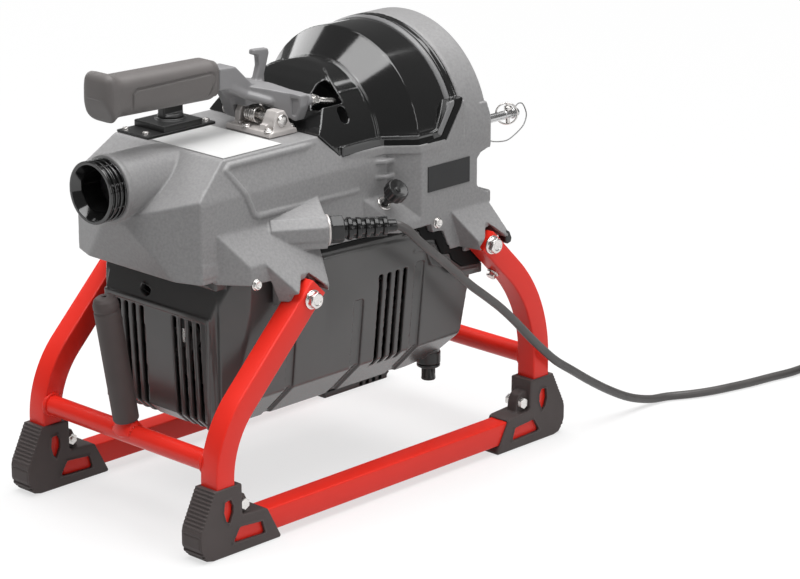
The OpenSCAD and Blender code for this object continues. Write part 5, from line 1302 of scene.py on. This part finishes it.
def cord_ends():
    side = np.array([-COIL_DIR[1], COIL_DIR[0], 0.0])
    place = (plug_at, (side, UP, COIL_DIR), 90)
    f = Field(plug_at - (40, 20, 16), plug_at + (30, 72, 16), 0.7)
    f.add(turned_on([(4.9, 0), (7, 0), (8.6, 19), (10.6, 21), (14.4, 33), (14.8, 45.4), (13.6, 46.4), (0, 46.4),
        (0, 2)], plug_at, COIL_DIR, 0.8))
    for i in range(4):
        at = 3.5 + 4.2 * i
        f.add(turned_on([(5, at), (8.8 + 0.3 * i, at), (8.8 + 0.3 * i, at + 2.2), (5, at + 2.2)], plug_at, COIL_DIR,
            0.8), 0.6)
    for x in (-14.6, 14.6):
        for i in range(4):
            f.cut(framed(bead([(x, -6, 30 + 3.6 * i), (x, 6, 30 + 3.6 * i)], 1.1), *place), 0.5)
    f.cut(rod(plug_at, COIL_DIR, 4.9, -5, 12))
    body = f.skin("mains_plug_body", "stand", "black_plastic", BOOT, ["plug"])
    f = Field(plug_at - (40, 20, 16), plug_at + (30, 72, 16), 0.5)
    for x in (-6.4, 6.4):
        f.add(framed(block((x - 0.8, -3.2, 45), (x + 0.8, 3.2, 64), 0.5), *place))
    f.add(framed(rod((0, 8, 0), UP, 2.4, 45, 66, 1.5), *place))
    prongs = f.skin("mains_plug_prongs", "stand", "steel", ZINC, ["plug"])
    a = COIL_A0 + math.pi / 2
    out = np.array([math.cos(a), math.sin(a), 0.0])
    across = np.array([-math.sin(a), math.cos(a), 0.0])
    wide = COIL_OUT - COIL_IN + 2 * CORD_R + 0.5 * LOOP + 1
    high = 2 * CORD_R + (LAYERS - 1) * LOOP + 0.3
    at = np.array([*COIL_C, 0.0]) + out * (COIL_OUT + COIL_IN) / 2
    place = (at, (out, across, UP), 70)
    f = Field(at - (40, 40, 0), at + (40, 40, high + 5), 0.8)
    f.add(framed(block((-wide / 2 - 2, -9, 0.1), (wide / 2 + 2, 9, high + 2), 1.6), *place))
    f.cut(framed(block((-wide / 2, -12, -5), (wide / 2, 12, high), 0.8), *place))
    f.add(framed(block((-13, -9.6, high + 0.6), (11, 9.6, high + 3.4), 1.2), *place), 0.6)
    for i in range(5):
        f.cut(framed(bead([(-10 + 4.5 * i, -12, high + 3.6), (-10 + 4.5 * i, 12, high + 3.6)], 0.8), *place), 0.4)
    tie = f.skin("coil_tie_strap", "stand", "rubber", SATIN, ["coil_tie"])
    return [body, prongs, tie]


cord_pieces = cord_ends() + [cord_entry()]
for build in (upper_housing, lower_housing, clutch_hood, operating_lever, lever_grip, lever_bracket,
        front_coupling, side_knob, drain_plug, feet, post_and_sleeve, frame_bolts, seam_gasket, hitch, quick_pin,
        switch, link_rods, housing_screws, leg_screws, skid_ribs):
    build()


# Carried-over CAD nodes

FINISHES = {"red_paint": RED, "rubber": RUBBER, "grey_paint": GREY, "grey_plastic": TUB, "black_plastic": SATIN,
    "steel": ZINC, "iron": IRON, "dark_metal": SATIN, "label": LABEL}
OWN_FINISH = {"operating_lever": LEVER, "lever_grip": GRIP, "clutch_hood": BLACK, "front_coupling": BLACK,
    "side_plate": PLATE}
slots = {s["node"]: s["material_slot"] for s in frame["record"]["subparts"]}
for name, node in nodes.items():
    node.data.materials.clear()
    node.data.materials.append(OWN_FINISH.get(name, FINISHES[slots[name]]))

# Stage

def floor_finish():
    """White where it is seen, more so away from the machine, with the shadow left in it."""
    paint, tree, shader = tree_of("floor_paint")
    wire = tree.links.new
    path = add_node(tree, "LightPath")
    seen = path.outputs["Is Camera Ray"]
    for kind in ("Is Glossy Ray", "Is Transmission Ray"):
        either = add_node(tree, "Math", operation="MAXIMUM")
        wire(seen, either.inputs[0])
        wire(path.outputs[kind], either.inputs[1])
        seen = either.outputs["Value"]
    tone = add_node(tree, "Mix", data_type="RGBA")
    wire(seen, tone.inputs["Factor"])
    tone.inputs["A"].default_value = (0.45, 0.45, 0.45, 1)
    tone.inputs["B"].default_value = (0.95, 0.95, 0.95, 1)
    wire(tone.outputs["Result"], shader.inputs["Base Color"])
    shader.inputs["Roughness"].default_value = 0.8
    where = add_node(tree, "TexCoord")
    far = add_node(tree, "VectorMath", operation="LENGTH")
    wire(where.outputs["Object"], far.inputs[0])
    share = add_node(tree, "MapRange")
    for key, value in (("From Min", 0.5), ("From Max", 1.3), ("To Min", 0.66), ("To Max", 0.97)):
        share.inputs[key].default_value = value
    wire(far.outputs["Value"], share.inputs["Value"])
    white = add_node(tree, "Math", operation="MULTIPLY")
    wire(share.outputs["Result"], white.inputs[0])
    wire(seen, white.inputs[1])
    light = add_node(tree, "Emission", Color=(1, 1, 1, 1), Strength=1.0)
    mix = add_node(tree, "MixShader")
    wire(white.outputs["Value"], mix.inputs["Fac"])
    wire(shader.outputs["BSDF"], mix.inputs[1])
    wire(light.outputs["Emission"], mix.inputs[2])
    wire(mix.outputs["Shader"], tree.nodes["Material Output"].inputs["Surface"])
    return paint


bpy.ops.mesh.primitive_plane_add(size=30, location=(0, 0, -0.0002))
floor = bpy.context.object
floor.name = "floor"
floor.data.materials.append(floor_finish())


def lamp(name, place, target, power, wide, high):
    """A flat lamp of a width and height."""
    data = bpy.data.lights.new(name, "AREA")
    data.shape = "RECTANGLE"
    data.energy, data.size, data.size_y = power, wide, high
    aim(new_object(name, data), place, target)


lamp("over", (0.3, 0.4, 3.2), (0, 0, 0.2), 120, 3.0, 3.0)
lamp("front", (-0.25, -1.25, 2.6), (0, 0.05, 0.42), 24, 1.7, 0.9)
lamp("right", (3.0, 0.3, 1.3), (0, 0, 0.25), 17, 1.6, 1.4)
lamp("left", (-2.6, 0.5, 1.5), (0, 0, 0.25), 14, 1.2, 1.2)

world = bpy.data.worlds.new("studio")
scene.world = world
world.use_nodes = True
world.node_tree.nodes["Background"].inputs["Color"].default_value = (0.95, 0.95, 0.95, 1)
world.node_tree.nodes["Background"].inputs["Strength"].default_value = 0.17
scene.view_settings.view_transform = "Standard"
